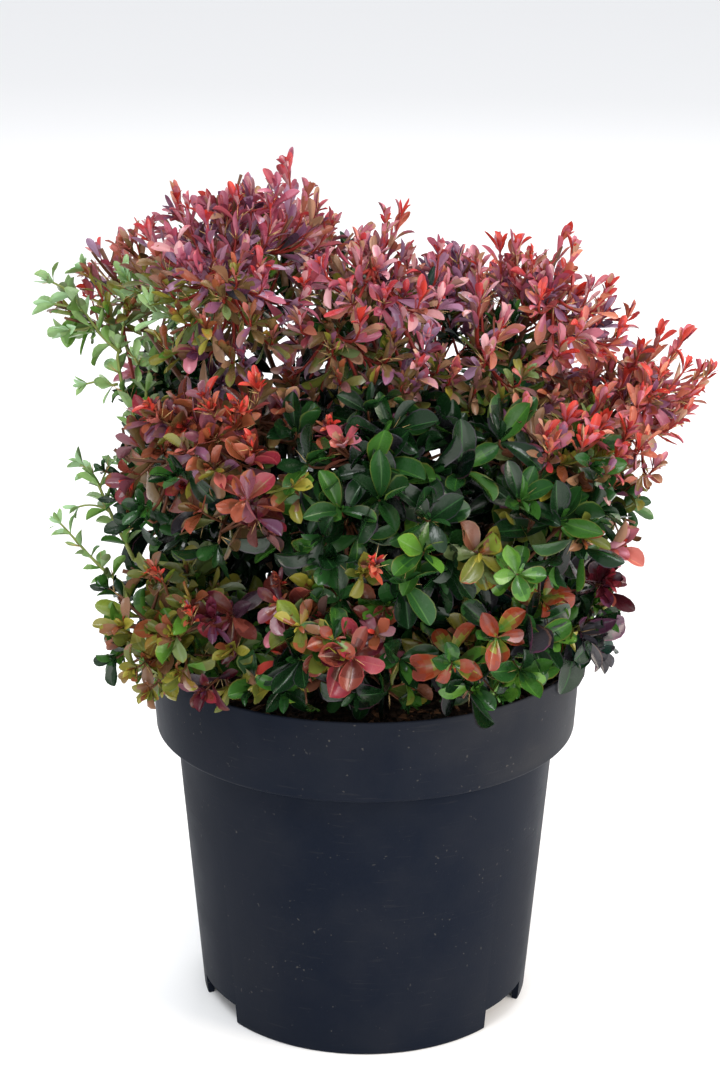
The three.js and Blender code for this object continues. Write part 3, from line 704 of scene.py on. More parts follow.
heights = np.linspace(STEM_FOOT - STEM_OVERRUN, STEM_FOOT + STEM_HEIGHT + STEM_OVERRUN, STEM_RINGS)
stem_path = np.array([stem_axis(height) for height in heights])
stem_radii = np.array([stem_radius(height) for height in heights])
stem_radii *= np.sqrt(np.clip((heights[-1] + 0.3 - heights) / STEM_ROUNDING, 0, 1))
points, ring, stem_faces = tubes([stem_path], [stem_radii], STEM_SIDES)
relief = STEM_RIDGES * np.abs(ripple(points * [1, 1, 0.3], 21, 3.2))
relief = relief + STEM_SWELLS * ripple(points, 22, 14) - STEM_SUNK
relief = relief * (stem_radii / STEM_RADIUS)[:, None]
stem_points = (points + ring * relief[..., None]).reshape(-1, 3)

bough_paths = []
for mass in masses:
    controls = mass["bough"]
    run_in = controls[0] - unit(controls[1] - controls[0]) * BOUGH_RUN_IN
    run_on = mass["inlet"] - mass["inward"] * BOUGH_RUN_ON
    line = curve(controls, np.linspace(0, 1, BOUGH_RINGS - 2))
    bough_paths.append(np.vstack([run_in, line, run_on]))
share = np.linspace(0, 1, BOUGH_RINGS)
bough_radii = np.tile(lerp(BOUGH_ROOT_RADIUS + 0.25, BOUGH_TIP_RADIUS, share), (len(masses), 1))
bough_radii[:, 0] *= BOUGH_COLLAR
points, ring, bough_faces = tubes(bough_paths, bough_radii, BOUGH_SIDES)
relief = BOUGH_RIDGES * ripple(points * [1, 1, 0.5], 23, 3.0)
relief = relief + BOUGH_SWELLS * ripple(points, 24, 9.0)
bough_points = (points + ring * relief[..., None]).reshape(-1, 3)
piece("stem_and_boughs", np.vstack([stem_points, bough_points]),
      np.vstack([stem_faces, bough_faces + len(stem_points)]), [bark_finish()], slot="bark",
      replaces=["main_stem"] + ["bough_" + mass["name"] for mass in masses])

# %% [markdown]
# ## Growing the crown
# Inside each mass the source grows a stem and six side twigs, each at the golden angle from the
# last, with random parts drawn from a small generator. The same generator and the same order of
# draws give the same limbs here. Finer shoots then grow from every limb by the same rule: one at
# each node, turned by the golden angle, bent up towards the light, and no longer than the
# mass's space allows.

# %% The limbs inside each mass
MASS_LIMB_TIP, TWIG_ROOT_RADIUS, SHORTEST_TWIG = 0.9, 0.95, 8
STEM_STRAY, STEM_PART = 0.15, 0.72  # how much a mass's stem strays, and its part of the room
FIRST_TWIG, LAST_TWIG = 0.25, 0.85  # shares of the mass's stem
TWIG_ANGLES, ANGLE_STRAY, TURN_STRAY, TWIG_LIFT = (95, 42), 8, 0.3, 0.6  # angles in degrees
TWIG_PART, TWIG_PART_SPREAD = 0.7, 0.1  # shares of the room that a twig has
TWIG_SAG = 0.06  # as a share of the twig's own reach


def source_numbers(seed):
    """The source's numbers from 0 to 1: each call adds a constant to a 32-bit state and mixes
    its bits by shifts and products."""
    state = seed

    def draw():
        nonlocal state
        state = (state + 0x6D2B79F5) & 0xFFFFFFFF
        mixed = (state ^ (state >> 15)) * (1 | state) & 0xFFFFFFFF
        mixed = (mixed + (mixed ^ (mixed >> 7)) * (61 | mixed) & 0xFFFFFFFF) ^ mixed
        return ((mixed ^ (mixed >> 14)) & 0xFFFFFFFF) / 0x100000000

    return draw


def tilted(axis, turn, angle):
    """The direction at an angle from an axis, turned about that axis: the axis times cosine
    plus a level direction across it, turned, times sine."""
    axis = np.asarray(axis, float)
    turn, angle = np.asarray(turn, float)[..., None], np.asarray(angle, float)[..., None]
    level = np.where(np.abs(axis[..., 2:]) < 0.95, UP, [1.0, 0.0, 0.0])
    across = unit(np.cross(axis, level))
    across = across * np.cos(turn) + np.cross(axis, across) * np.sin(turn)
    return axis * np.cos(angle) + across * np.sin(angle)


def grow_limbs(mass):
    """The mass's stem, a curve through its middle, and its side twigs, as in the source."""
    draw = source_numbers(mass["seed"])

    def jitter(spread):
        return (draw() * 2 - 1) * spread

    forward, lift, centre = -mass["inward"], LIFT[mass["habit"]], mass["centre"]
    rising = unit(forward + [jitter(STEM_STRAY), jitter(STEM_STRAY), lift])
    tip = centre + rising * space_reach(mass, rising) * STEM_PART
    stem = [mass["inlet"] + forward * STEM_GAP, centre, tip]
    limbs = [dict(controls=stem, radii=(BOUGH_TIP_RADIUS, MASS_LIMB_TIP))]
    for i in range(SIDE_TWIGS):
        share = lerp(FIRST_TWIG, LAST_TWIG, i / (SIDE_TWIGS - 1))
        angle = math.radians(lerp(*TWIG_ANGLES, share) + jitter(ANGLE_STRAY))
        heading = tilted(slope(stem, share), i * GOLDEN_TURN + jitter(TURN_STRAY), angle)
        heading = unit(heading + lift * TWIG_LIFT * UP)
        root = curve(stem, share)
        reach = space_reach(mass, heading, root) * (TWIG_PART + TWIG_PART_SPREAD * draw())
        if reach > SHORTEST_TWIG:
            middle = root + heading * reach * 0.5 - UP * reach * TWIG_SAG
            controls = [root, middle, root + heading * reach]
            limbs.append(dict(controls=controls, radii=(TWIG_ROOT_RADIUS, TWIG_TIP_RADIUS)))
    return limbs


for mass in masses:
    mass["limbs"] = grow_limbs(mass)
print("limbs inside the masses:", sum(len(mass["limbs"]) for mass in masses))

# %% [markdown]
# ## Colours of the leaves
# Each spray of a barberry goes through the colours of its age: dark green when old and shaded,
# then bronze or plum, rose and scarlet at the young tips. A ramp of plain tints, from old to
# young, stands for each sort of spray. Every leaf takes its step on the ramp from its place on the
# shoot and from how far out in the crown it stands; deep inside, its older, darker tints are partly
# the real green of shaded leaves and partly painted shade. It grows younger in colour from its
# stalk to its tip. Here and there a leaf takes the ramp's neighbour.

# %% Tints, and the ramps that sprays go through
SHADES = {name: shade for name, *shade in table("""
pine 18 37 26; forest 27 53 30; fern 40 76 38; leaf 58 98 40; grass 94 138 52; ember 158 60 36;
pale 136 168 104; mint 158 194 146; sage 106 128 86; slate 38 62 54; dusk 76 62 78; plum 86 48 72;
garnet 98 32 44; mauve 134 86 114; lilac 166 134 162; rose 178 101 122; pink 202 152 156;
blush 198 144 150; crimson 142 56 80; coral 194 108 98; scarlet 198 64 54; ruby 168 58 72;
salmon 208 138 120; orange 178 94 56; rust 142 74 46; brick 132 64 56; bronze 116 82 60;
olive 98 104 46; gold 148 138 54; tan 164 128 98
""")}
# Each row: ramp, neighbour, brightness, least and most steps from stalk to tip, its shades
RAMPS = table("""
crimson plum 0.95 0.5 2.2 olive plum mauve ruby lilac rose crimson pink ruby scarlet;
rose blush 1 0.5 2.2 olive bronze mauve lilac ruby blush rust rose tan ruby scarlet;
scarlet bronze 1 0.5 2.2 olive gold bronze tan mauve coral rust crimson salmon orange rose scarlet ruby
scarlet;
moss straw 0.95 0.5 2.2 fern olive bronze olive tan bronze mauve bronze rust coral;
plum bronze 0.95 0.5 2.2 slate dusk plum mauve lilac plum lilac mauve ruby rose;
bronze moss 1 0.5 2.2 olive bronze tan bronze mauve rust tan rose coral;
blush rose 1 0.5 2.2 olive bronze tan mauve blush tan rose pink rose coral;
sunset wine 0.88 0.5 2.2 fern olive bronze rust olive brick rust bronze brick mauve rust orange scarlet;
garnet wine 0.66 0.5 2.2 pine dusk garnet plum garnet plum garnet crimson mauve brick;
wine garnet 0.78 0.5 2.2 olive bronze rust brick garnet ruby brick garnet brick ruby ruby;
flame sunset 0.93 0.5 2.2 olive bronze brick rust ruby brick orange scarlet coral scarlet;
amber straw 0.96 0.3 1.6 fern leaf grass gold leaf olive gold grass olive bronze gold olive rust gold;
meadow leafy 1 0.5 2.2 fern leaf grass leaf grass leaf grass leaf grass;
turning leafy 0.84 6 9 forest leaf grass leaf grass leaf grass gold rust ember brick;
straw amber 0.92 0.3 1.4 fern olive grass gold olive sage gold bronze gold rust;
leafy deep 0.9 0 1.2 pine forest fern forest fern leaf fern;
deep leafy 0.77 0 1.2 pine pine slate forest pine forest slate forest fern forest fern;
dusk deep 0.86 0.5 2.2 pine forest slate pine dusk forest slate plum slate dusk;
fresh fresh 1 0.5 2.2 leaf pale grass pale sage mint pale mint
""")
RAMP_STEPS, SAME_TINT = 15, 15.0  # shades that are closer than this, of 255, share one tint
EDGE_SHADE, EDGE_SHARE, VEIN_SHADE, VEIN_SHARE = (196, 140, 112), 0.2, (196, 206, 170), 0.12
palette = []


def tint_number(shade, may_add=True):
    """The number of the tint that is nearest to a shade. A shade with no tint near it becomes
    a tint of its own, if it may."""
    gaps = [np.linalg.norm(np.subtract(tint, shade)) for tint in palette]
    if not gaps or (may_add and min(gaps) > SAME_TINT):
        palette.append(tuple(np.round(shade)))
        return len(palette) - 1
    return int(np.argmin(gaps))


def ramp_tints(names, brightness):
    """The ramp's shades times its brightness, joined by straight lines and read at even steps,
    as tint numbers."""
    shades = np.array([SHADES[name] for name in names]) * brightness
    places = np.linspace(0, len(shades) - 1, RAMP_STEPS)
    read = [np.interp(places, np.arange(len(shades)), shades[:, k]) for k in range(3)]
    return np.array([tint_number(shade) for shade in np.stack(read, -1)])


def mixed_tints(other, share):
    """For every tint, the number of the one that is nearest to a share of the way from it to
    another shade."""
    mixed = [lerp(np.array(shade), np.array(other), share) for shade in palette]
    return np.array([tint_number(shade, may_add=False) for shade in mixed])


ramps = {}
for name, neighbour, brightness, least, most, *names in RAMPS:
    tints = ramp_tints(names, brightness)
    ramps[name] = dict(neighbour=neighbour, steps=(least, most), tints=tints)
edge_tint, vein_tint = mixed_tints(EDGE_SHADE, EDGE_SHARE), mixed_tints(VEIN_SHADE, VEIN_SHARE)
print("tints:", len(palette))

# %% [markdown]
# ## Shoots and where their leaves sit
# Six kinds of shoot are seen: upright ones with narrow leaves at the top, rosettes of
# spoon-shaped leaves on the sides, broad glossy leaves in the middle, open stars that face the
# camera, tight tufts of young leaves, and slender green shoots at the left. A shoot is a bent
# line. Its leaves follow each other at the golden angle, closer and shorter towards the tip, and
# a tuft of the youngest ends it.

# %% Kinds of shoots
# Lengths of a leaf and of one in the tuft, angles to the shoot in degrees, counts of leaves,
# lengths of the shoot, powers of a leaf's outline, how far inside its mass's shell the shoot
# stays, and how much of a listed shoot has leaves
KIND_COLUMNS = ("leaf aspect first_angle last_angle spacing cluster whorl tuft tuft_leaf shortest "
                "longest lift outline_a outline_b shell leafy").split()
KINDS = {name: dict(zip(KIND_COLUMNS, values)) for name, *values in table("""
upright 15 0.31 52 18 2.8 1 3 6 7 20 40 1 1.5 0.62 15.5 34;
rosette 18 0.47 86 42 2.4 1 3 8 8 9 20 0.3 1.3 0.62 12 15;
broad 24 0.48 88 55 3.4 1 3 3 10 8 18 0.1 1.15 0.65 12 15;
star 18 0.6 94 66 2.1 1 3 4 7 8 14 0.3 1.25 0.6 12 15;
tuft 11 0.27 58 14 1.9 1 6 9 8.5 8 14 0.6 1.3 0.7 12 14;
slender 13 0.46 62 46 7.5 3 2 3 7 20 34 0.6 1.2 0.75 8 15
""")}
CROWN_MIDDLE, CROWN_RADII = np.array([0.0, 0.0, 238.0]), np.array([142.0, 112.0, 135.0])
LEAF_SIZES, LEAF_AGES = (1.08, 0.72), (0.3, 0.85)  # at the foot of a shoot and at its tip
LAST_LEAF, WHORL_AT, WHORL_SPREAD = 0.93, 0.97, 0.05  # shares of a shoot's length
TUFT_ANGLES, TUFT_LENGTHS, TUFT_ASPECT, TUFT_AGE = (0.08, 0.6), (0.6, 1.1), 0.3, 0.98
NEIGHBOUR_SHARE, LEAVES_TO_A_SPINE = 0.25, 3
ANGLE_SPREAD, TURN_SPREAD, ROLL_SPREAD, AGE_SPREAD = math.radians(11), 0.3, 0.35, 0.12
SHADED_BY = 0.6  # how far back along its ramp a leaf's tint goes deep inside the crown: older, greener and darker, partly the real colour of shaded leaves and partly painted shade
SHADE_END, SHADE_RANGE = 0.45, 0.45  # light comes in from this share of the radii, over so much
SKY_PULL = 0.3  # how much a leaf's upper face turns to the sky
leaf_rows, shoots, spine_rows = [], [], []


def exposure(points):
    """From 0 deep inside the crown to 1 at its outside: how far out a point is, as a share of
    the crown's own radii."""
    out = np.linalg.norm((points - CROWN_MIDDLE) / CROWN_RADII, axis=-1)
    return np.clip((out - SHADE_END) / SHADE_RANGE, 0, 1)


def line_length(controls):
    """A curve's length: the sum of eight straight steps along it."""
    return np.linalg.norm(np.diff(curve(controls, np.linspace(0, 1, 9)), axis=0), axis=1).sum()


def hang_leaves(mass, ramp, look, roots, axes, turns, angles, lengths, ages, rng):
    """Puts one leaf at each root. Its heading leaves the shoot's axis at the leaf's angle, and
    its upper face looks back to the tip of the shoot and a little up to the sky."""
    count = len(turns)
    angles = angles + rng.normal(0, ANGLE_SPREAD, count)
    heading = tilted(axes, turns + rng.normal(0, TURN_SPREAD, count), angles)
    face = axes - heading * (axes * heading).sum(-1, keepdims=True)
    face = unit(face + SKY_PULL * UP)
    face = unit(face - heading * (face * heading).sum(-1, keepdims=True))
    roll = rng.normal(0, ROLL_SPREAD, count)[:, None]
    face = face * np.cos(roll) + np.cross(heading, face) * np.sin(roll)
    stray = rng.uniform(size=count)[:, None] < NEIGHBOUR_SHARE
    aspect = np.where(ages == TUFT_AGE, TUFT_ASPECT, look["aspect"])
    # painted shade: deep inside the crown a leaf takes an older, darker, greener step on its ramp, in part
    # the real green of shaded leaves
    age = ages - SHADED_BY * (1 - exposure(roots)) + rng.normal(0, AGE_SPREAD, count)
    outline = np.array([look["outline_a"], look["outline_b"]])
    leaf_rows.append(dict(
        mass=np.full(count, mass["index"]), root=roots, heading=heading, face=face,
        length=lengths * rng.uniform(0.75, 1.15, count),
        aspect=aspect * rng.uniform(0.72, 1.15, count),
        outline=outline * rng.uniform(0.88, 1.12, (count, 2)),
        bend=rng.normal(-0.1, 0.5, count), fold=rng.uniform(0.05, 0.65, count),
        curl=rng.uniform(0.0, 0.7, count), twist=rng.normal(0, 0.3, count),
        sway=rng.normal(0, 0.06, count), wave=rng.uniform(0, 0.14, count),
        age=age * (RAMP_STEPS - 1), blush=rng.uniform(*ramps[ramp]["steps"], count),
        tints=np.where(stray, ramps[ramps[ramp]["neighbour"]]["tints"], ramps[ramp]["tints"]),
        hang=np.full(count, mass["hang"]),
    ))


def grow_shoot(mass, controls, kind, ramp, rng, size=1.0, bare=0.12, radii=(0.62, 0.36)):
    """A shoot along a curve: its line is kept for the twigs, its leaves are hung along it, with
    a whorl and a tuft at its tip, and spines may stand at every third place."""
    look = KINDS[kind]
    wood = "green" if ramp == "fresh" else "red" if mass["level"] == "top" else "brown"
    shoots.append(dict(mass=mass, controls=controls, radii=radii, wood=wood))
    cluster, whorl, tuft = int(look["cluster"]), int(look["whorl"]), int(look["tuft"])
    nodes = max(int(line_length(controls) * (1 - bare) / (look["spacing"] * size)), 1)
    along = nodes * cluster
    share = np.repeat(np.linspace(bare, LAST_LEAF, nodes), cluster)
    share = np.concatenate([share, np.full(whorl, WHORL_AT), np.full(tuft, 1.0)])
    share[along:] -= rng.uniform(0, WHORL_SPREAD, len(share) - along)
    count = len(share)
    in_tuft = np.arange(count) >= along + whorl
    turns = rng.uniform(0, 6.28) + np.arange(count) * GOLDEN_TURN
    angles = lerp(*np.radians([look["first_angle"], look["last_angle"]]), share)
    angles = np.where(in_tuft, rng.uniform(*TUFT_ANGLES, count), angles)
    lengths = look["leaf"] * lerp(*LEAF_SIZES, share) * size
    tuft_lengths = look["tuft_leaf"] * size * rng.uniform(*TUFT_LENGTHS, count)
    lengths = np.where(in_tuft, tuft_lengths, lengths)
    ages = np.where(in_tuft, TUFT_AGE, lerp(*LEAF_AGES, share))
    roots, axes = curve(controls, share), slope(controls, share)
    hang_leaves(mass, ramp, look, roots, axes, turns, angles, lengths, ages, rng)
    nodes = np.arange(0, along, LEAVES_TO_A_SPINE)
    spine_rows.append(dict(root=roots[nodes], axis=axes[nodes], turn=turns[nodes],
                           mass=np.full(len(nodes), mass["index"])))


# %% Grow shoots from every limb
NODE_SPACING, BACK_SPACING, SHOOTS_AT_NODE = 6.0, 5.2, 2
FIRST_NODE, LAST_NODE, NODES_PART = 0.2, 0.95, 0.75  # shares of the limb
SHORTEST_SHOOT, LONGEST_LOOK, PAST_PLANES = 4.0, 60, 8.0
LOWEST_ANGLE, HIGHEST_ANGLE, LEADER_ANGLE, SHOOT_SPREAD = 76, 40, 0.12, 0.2
FIRST_LIFT, SECOND_LIFT = 0.45, 0.5  # how much each half of a shoot turns up
STEEP = 0.4  # a shoot that rises by more than this stays inside the shell by the whole distance
UPPER_FROM = -4.0  # millimetres from the mass's middle, towards its upper and outer side
OUTER_PART = 0.6  # how much that side faces out, for each part that it faces up
BROAD_MASSES = ("middle_front", "middle_front_right", "low_right")
BROAD_SHARE, BROAD_ELSEWHERE = 0.8, 0.35


def pick(choices, rng):
    return choices[int(rng.integers(len(choices)))]


def kind_for(mass, ramp, rng):
    """The kind of shoot that goes with a mass's habit and with the colours of the spray."""
    if ramp == "fresh":
        return "slender"
    if mass["habit"] == "shoots":
        return "upright"
    broad = BROAD_SHARE if mass["name"] in BROAD_MASSES else BROAD_ELSEWHERE
    return "broad" if ramp in ("deep", "dusk", "leafy") and rng.uniform() < broad else "rosette"


def grow_side_shoots(mass, twig, rng):
    """Shoots at each node of a limb, and one that goes on from its tip."""
    controls = twig["controls"]
    spacing = BACK_SPACING if "back" in mass["name"] else NODE_SPACING
    count = max(int(line_length(controls) * NODES_PART / spacing), 1)
    nodes = np.linspace(FIRST_NODE, LAST_NODE, count)
    shares = np.append(np.repeat(nodes, SHOOTS_AT_NODE), 1.0)
    turn = rng.uniform(0, 2 * math.pi)
    for k, share in enumerate(shares):
        if share < 1 and rng.uniform() > mass["shoot_share"]:
            continue
        root, axis = curve(controls, share), slope(controls, share)
        angle = LEADER_ANGLE
        if share < 1:
            angle = math.radians(lerp(LOWEST_ANGLE, HIGHEST_ANGLE, share)) + rng.normal(0, SHOOT_SPREAD)
        upper = (root - mass["centre"]) @ unit(UP - OUTER_PART * mass["inward"]) > UPPER_FROM
        ramp = pick(mass["upper" if upper else "lower"], rng)
        kind = kind_for(mass, ramp, rng)
        look = KINDS[kind]
        heading = tilted(axis, turn + k * GOLDEN_TURN, angle)
        heading = unit(heading + look["lift"] * FIRST_LIFT * UP)
        shell = look["shell"] * (1.0 if heading[2] > STEEP else 0.5) + mass["held_back"]
        length = rng.uniform(look["shortest"], look["longest"])
        slack = (-shell, PAST_PLANES)
        length = min(length, space_reach(mass, heading, root, LONGEST_LOOK, slack))
        if length >= SHORTEST_SHOOT:
            middle = root + heading * length * 0.5
            tip = middle + unit(heading + look["lift"] * SECOND_LIFT * UP) * length * 0.5
            grow_shoot(mass, [root, middle, tip], kind, ramp, rng)


for mass in masses:
    rng = np.random.default_rng(mass["seed"])
    for twig in mass["limbs"]:
        grow_side_shoots(mass, twig, rng)
print("shoots:", len(shoots))

# %% [markdown]
# ## Leaves along the boughs
# Short spurs with dark leaves also sit along the boughs, which closes the view into the middle
# of the crown, as the old wood of the real plant does.

# %% Spurs on the boughs
SPUR_SPACING, SPUR_LENGTH, SPUR_ANGLE, SPUR_SIZE, SPUR_DROP = 7.0, (5.0, 12.0), 1.1, 0.95, 6
FIRST_SPUR, LAST_SPUR, SPURS_PART, SPUR_LIFT = 0.3, 0.98, 0.65, 0.2
SPUR_RAMPS = ("deep", "deep", "leafy")
for mass in masses:
    rng = np.random.default_rng(mass["seed"] + 5)
    controls = mass["bough"]
    count = int(line_length(controls) * SPURS_PART / SPUR_SPACING)
    turn = rng.uniform(0, 2 * math.pi)
    for k, share in enumerate(np.linspace(FIRST_SPUR, LAST_SPUR, count)):
        root = curve(controls, share)
        heading = tilted(slope(controls, share), turn + k * GOLDEN_TURN, SPUR_ANGLE)
        heading = unit(heading + SPUR_LIFT * UP)
        tip = root + heading * rng.uniform(*SPUR_LENGTH)
        if over_pot(tip[None] - SPUR_DROP * UP, mass["hang"])[0]:
            spur = [root, (root + tip) / 2, tip]
            grow_shoot(mass, spur, "rosette", pick(SPUR_RAMPS, rng), rng, size=SPUR_SIZE)
print("with spurs:", len(shoots))

# %% [markdown]
# ## Sprays that the photograph shows one by one
# Some rosettes and shoots stand out in the photograph. Each is listed by the pixel of its tip.
# The line of sight through that pixel is followed until it enters a mass of foliage, or to
# where it passes closest to one, and there the spray is put. It grows from the nearest limb of
# that mass, so it also belongs to the plant when it is seen from any other side.

# %% Find where a listed spray belongs
SIGHT_DEPTHS = np.arange(-150.0, 130.0, 2.0)
TO_CAMERA, UPTURN = 40, 0.5  # how much a listed spray faces the camera, and the sky
ARRIVAL, LEAST_ARRIVAL, LEAST_BARE = 0.45, 6, 0.1
WITHIN = (-4.0, 4.0)  # for a line of sight the shell is moved in, and the planes are moved out


def on_sight(u, v, depth_in):
    """The mass that the line of sight through a pixel enters first, and the point so far past
    its front. Where it enters none, the point with the smallest distance from a mass's middle,
    as a share of the mass's radii."""
    line = seen_at(u, v, SIGHT_DEPTHS[:, None])
    entries = []
    for mass in masses:
        inside = in_space(line, mass, WITHIN)
        if inside.any():
            entries.append((SIGHT_DEPTHS[np.argmax(inside)], mass))
    if entries:
        depth, mass = min(entries, key=lambda entry: entry[0])
        return seen_at(u, v, depth + depth_in), mass
    out = [np.linalg.norm((line - mass["centre"]) / mass["radii"], axis=1) for mass in masses]
    nearest = int(np.argmin([shares.min() for shares in out]))
    return line[np.argmin(out[nearest])], masses[nearest]


def nearest_limb(mass, point, pull=0.35):
    """The point on a mass's limbs that is nearest to a place a little way in from the point."""
    goal = lerp(point, mass["centre"], pull)
    spots = np.vstack([curve(twig["controls"], np.linspace(0.2, 1, 9)) for twig in mass["limbs"]])
    return spots[np.argmin(np.linalg.norm(spots - goal, axis=1))]


def own_generator(u, v):
    """Random numbers that belong to one pixel."""
    return np.random.default_rng(int(u * 1000 + v))


def place_rosette(u, v, ramp, size, kind, droop, depth_in):
    """A shoot whose tip is seen at a pixel. It leaves its limb and arrives facing outwards."""
    tip, mass = on_sight(u, v, depth_in)
    root = nearest_limb(mass, tip)
    outward = unit((tip - crown_foot) * [1, 1, 0.6] - view_ahead * TO_CAMERA)
    axis = unit(outward + UP * (UPTURN - droop))
    bend = tip - axis * max(np.linalg.norm(tip - root) * ARRIVAL, LEAST_ARRIVAL)
    line = [root, bend, tip]
    bare = max(1 - KINDS[kind]["leafy"] * size / line_length(line), LEAST_BARE)
    grow_shoot(mass, line, kind, ramp, own_generator(u, v), size, bare, radii=(0.85, 0.45))


# %% Rosettes on the front and the sides
# Each: pixel of the tip, colours, size, kind, droop
ROSETTES = table("""
249 462 sunset 1 rosette 0; 246 500 sunset 1 star 0.5; 252 446 flame 1 tuft -0.4;
212 412 flame 1 tuft -0.4; 240 412 flame 1.15 tuft -0.4; 330 430 flame 0.9 tuft -0.3;
280 584 flame 0.9 tuft -0.2; 374 566 flame 0.9 tuft -0.2; 156 572 flame 0.85 tuft -0.2;
190 612 flame 0.8 tuft -0.2; 256 520 garnet 0.95 star 0.9; 292 486 amber 0.8 star 0.1;
330 436 sunset 0.75 rosette -0.2; 344 444 blush 0.75 rosette 0; 204 400 sunset 0.8 rosette -0.3;
258 390 flame 1.2 tuft -0.5; 292 384 flame 1.15 tuft -0.4; 154 410 flame 0.95 tuft -0.3;
210 440 sunset 0.9 rosette 0; 236 428 sunset 0.85 rosette 0; 188 452 moss 0.85 rosette 0.1;
176 476 leafy 0.85 rosette 0.3; 198 352 plum 1.1 rosette 0; 214 470 moss 0.9 rosette 0.3;
152 576 amber 0.85 rosette 0; 280 604 sunset 0.95 star 0.4; 284 622 scarlet 0.85 rosette 0.5;
364 574 amber 0.85 rosette 0; 352 657 wine 1.15 star 0.4; 334 640 turning 0.9 star 0.1;
376 634 sunset 0.8 star 0.2; 232 618 garnet 0.95 broad 0.8; 212 620 garnet 0.9 rosette 0.6;
322 620 garnet 0.9 rosette 0.4; 124 626 amber 0.9 rosette 0.2; 136 668 amber 0.85 rosette 0.6;
176 636 amber 0.9 rosette 0.2; 182 672 amber 0.9 rosette 0.7; 206 690 garnet 0.9 rosette 0.9;
150 690 amber 0.85 rosette 0.8; 192 604 amber 0.9 rosette 0.2; 232 650 straw 0.85 rosette 0.4;
480 553 straw 1 star 0; 492 560 straw 1 rosette 0.5; 498 638 turning 1 star 0.8;
452 664 turning 1 star 0.9; 546 600 turning 1 star 0.3; 424 552 meadow 0.95 broad 0.2;
420 610 leafy 0.9 rosette 0.2; 532 622 dusk 1.1 broad 0.8; 580 634 dusk 1.1 broad 0.9;
594 638 dusk 0.85 broad 0.9; 598 650 dusk 0.65 broad 1.3; 612 548 blush 1.1 rosette 0.2;
602 580 garnet 0.9 rosette 0.5; 300 660 deep 1 broad 0.5; 250 686 deep 1 broad 0.6;
400 660 deep 0.95 broad 0.5; 464 680 deep 0.85 broad 0.5; 520 670 leafy 0.95 broad 0.6;
392 430 deep 1.1 broad 0; 460 470 deep 1.1 broad 0.2; 500 440 deep 1.15 broad 0;
380 500 deep 1.15 broad 0.3; 430 520 deep 1.05 broad 0.3; 520 500 leafy 1.05 broad 0.3;
560 520 deep 1.05 broad 0.3; 340 510 leafy 1.05 broad 0.3; 330 560 leafy 0.95 rosette 0.3;
296 432 deep 1 broad 0.1; 308 464 deep 1 broad 0.2; 288 412 bronze 1 rosette 0;
322 408 deep 0.95 broad 0; 418 404 deep 1 broad 0; 434 426 deep 1.05 broad 0.1;
452 444 deep 1 broad 0.1; 368 410 deep 1 broad 0; 518 574 meadow 0.9 star 0.2;
130 522 deep 0.8 rosette 0; 148 520 deep 0.8 slender 0; 142 508 leafy 0.8 rosette 0;
386 606 meadow 0.9 rosette 0.3; 316 604 meadow 0.85 rosette 0.1; 340 600 leafy 0.9 broad 0.2;
404 582 leafy 1 broad 0.2; 312 590 amber 0.9 rosette 0.1; 300 626 amber 0.9 star 0.4;
108 588 leafy 0.7 rosette 0; 602 584 garnet 0.9 rosette 0.6; 596 620 leafy 0.8 rosette 0.5;
134 356 fresh 0.9 slender -0.4; 116 500 leafy 0.8 slender 0; 104 470 leafy 0.7 slender 0;
116 658 deep 0.8 rosette 0.7; 128 396 leafy 0.8 slender -0.3
""")
for u, v, ramp, size, kind, droop in ROSETTES:
    place_rosette(u, v, ramp, size, kind, droop, depth_in=-6.0 if kind in ("tuft", "star") else 2.0)

# Upright shoots in front of the upper masses: pixel of the tip, colours, size
FRONT_SHOOTS = table("""
300 325 rose 1; 332 345 moss 1; 360 322 rose 1.05; 392 345 moss 1.1; 428 338 crimson 1;
402 385 moss 1; 452 375 scarlet 0.9; 470 408 moss 1; 440 300 crimson 1; 500 330 rose 1.05;
522 378 moss 1; 560 350 scarlet 1; 552 402 bronze 1; 600 402 scarlet 0.95; 350 296 rose 1;
304 286 crimson 1; 250 318 moss 1; 222 296 moss 1; 200 278 plum 1; 182 318 straw 1; 236 278 moss 1;
242 358 plum 1; 312 398 bronze 1; 372 388 moss 1.1; 290 368 rose 1; 262 282 crimson 1;
340 376 moss 1.1; 420 300 rose 1; 480 300 rose 1; 540 300 scarlet 1; 580 330 rose 1;
590 440 scarlet 1; 486 360 rose 1; 165 345 straw 1; 206 330 moss 1.05; 434 410 bronze 1;
545 440 scarlet 0.95; 615 460 scarlet 0.9; 640 400 scarlet 0.9; 385 300 crimson 1; 325 270 crimson 1;
160 262 bronze 1; 176 246 crimson 1; 142 272 straw 1; 150 240 crimson 1.1; 170 292 straw 1;
132 250 bronze 0.95; 186 268 crimson 1; 126 276 fresh 0.95; 152 306 fresh 1; 272 336 moss 1;
440 362 moss 1; 418 368 rose 1; 452 400 bronze 1; 476 388 moss 1; 412 392 moss 1; 500 402 moss 1;
642 446 scarlet 0.9; 654 468 bronze 0.85; 524 416 scarlet 1; 566 424 scarlet 1.05;
582 448 scarlet 1.05; 600 430 scarlet 1.05; 550 452 scarlet 1; 606 474 moss 1; 628 432 scarlet 1;
276 190 crimson 1; 640 352 scarlet 0.9; 230 356 moss 1; 618 336 scarlet 0.9; 598 304 scarlet 0.9;
700 372 scarlet 0.75
""")
for u, v, ramp, size in FRONT_SHOOTS:
    place_rosette(u, v, ramp, size, "upright", droop=-0.9, depth_in=-6.0)

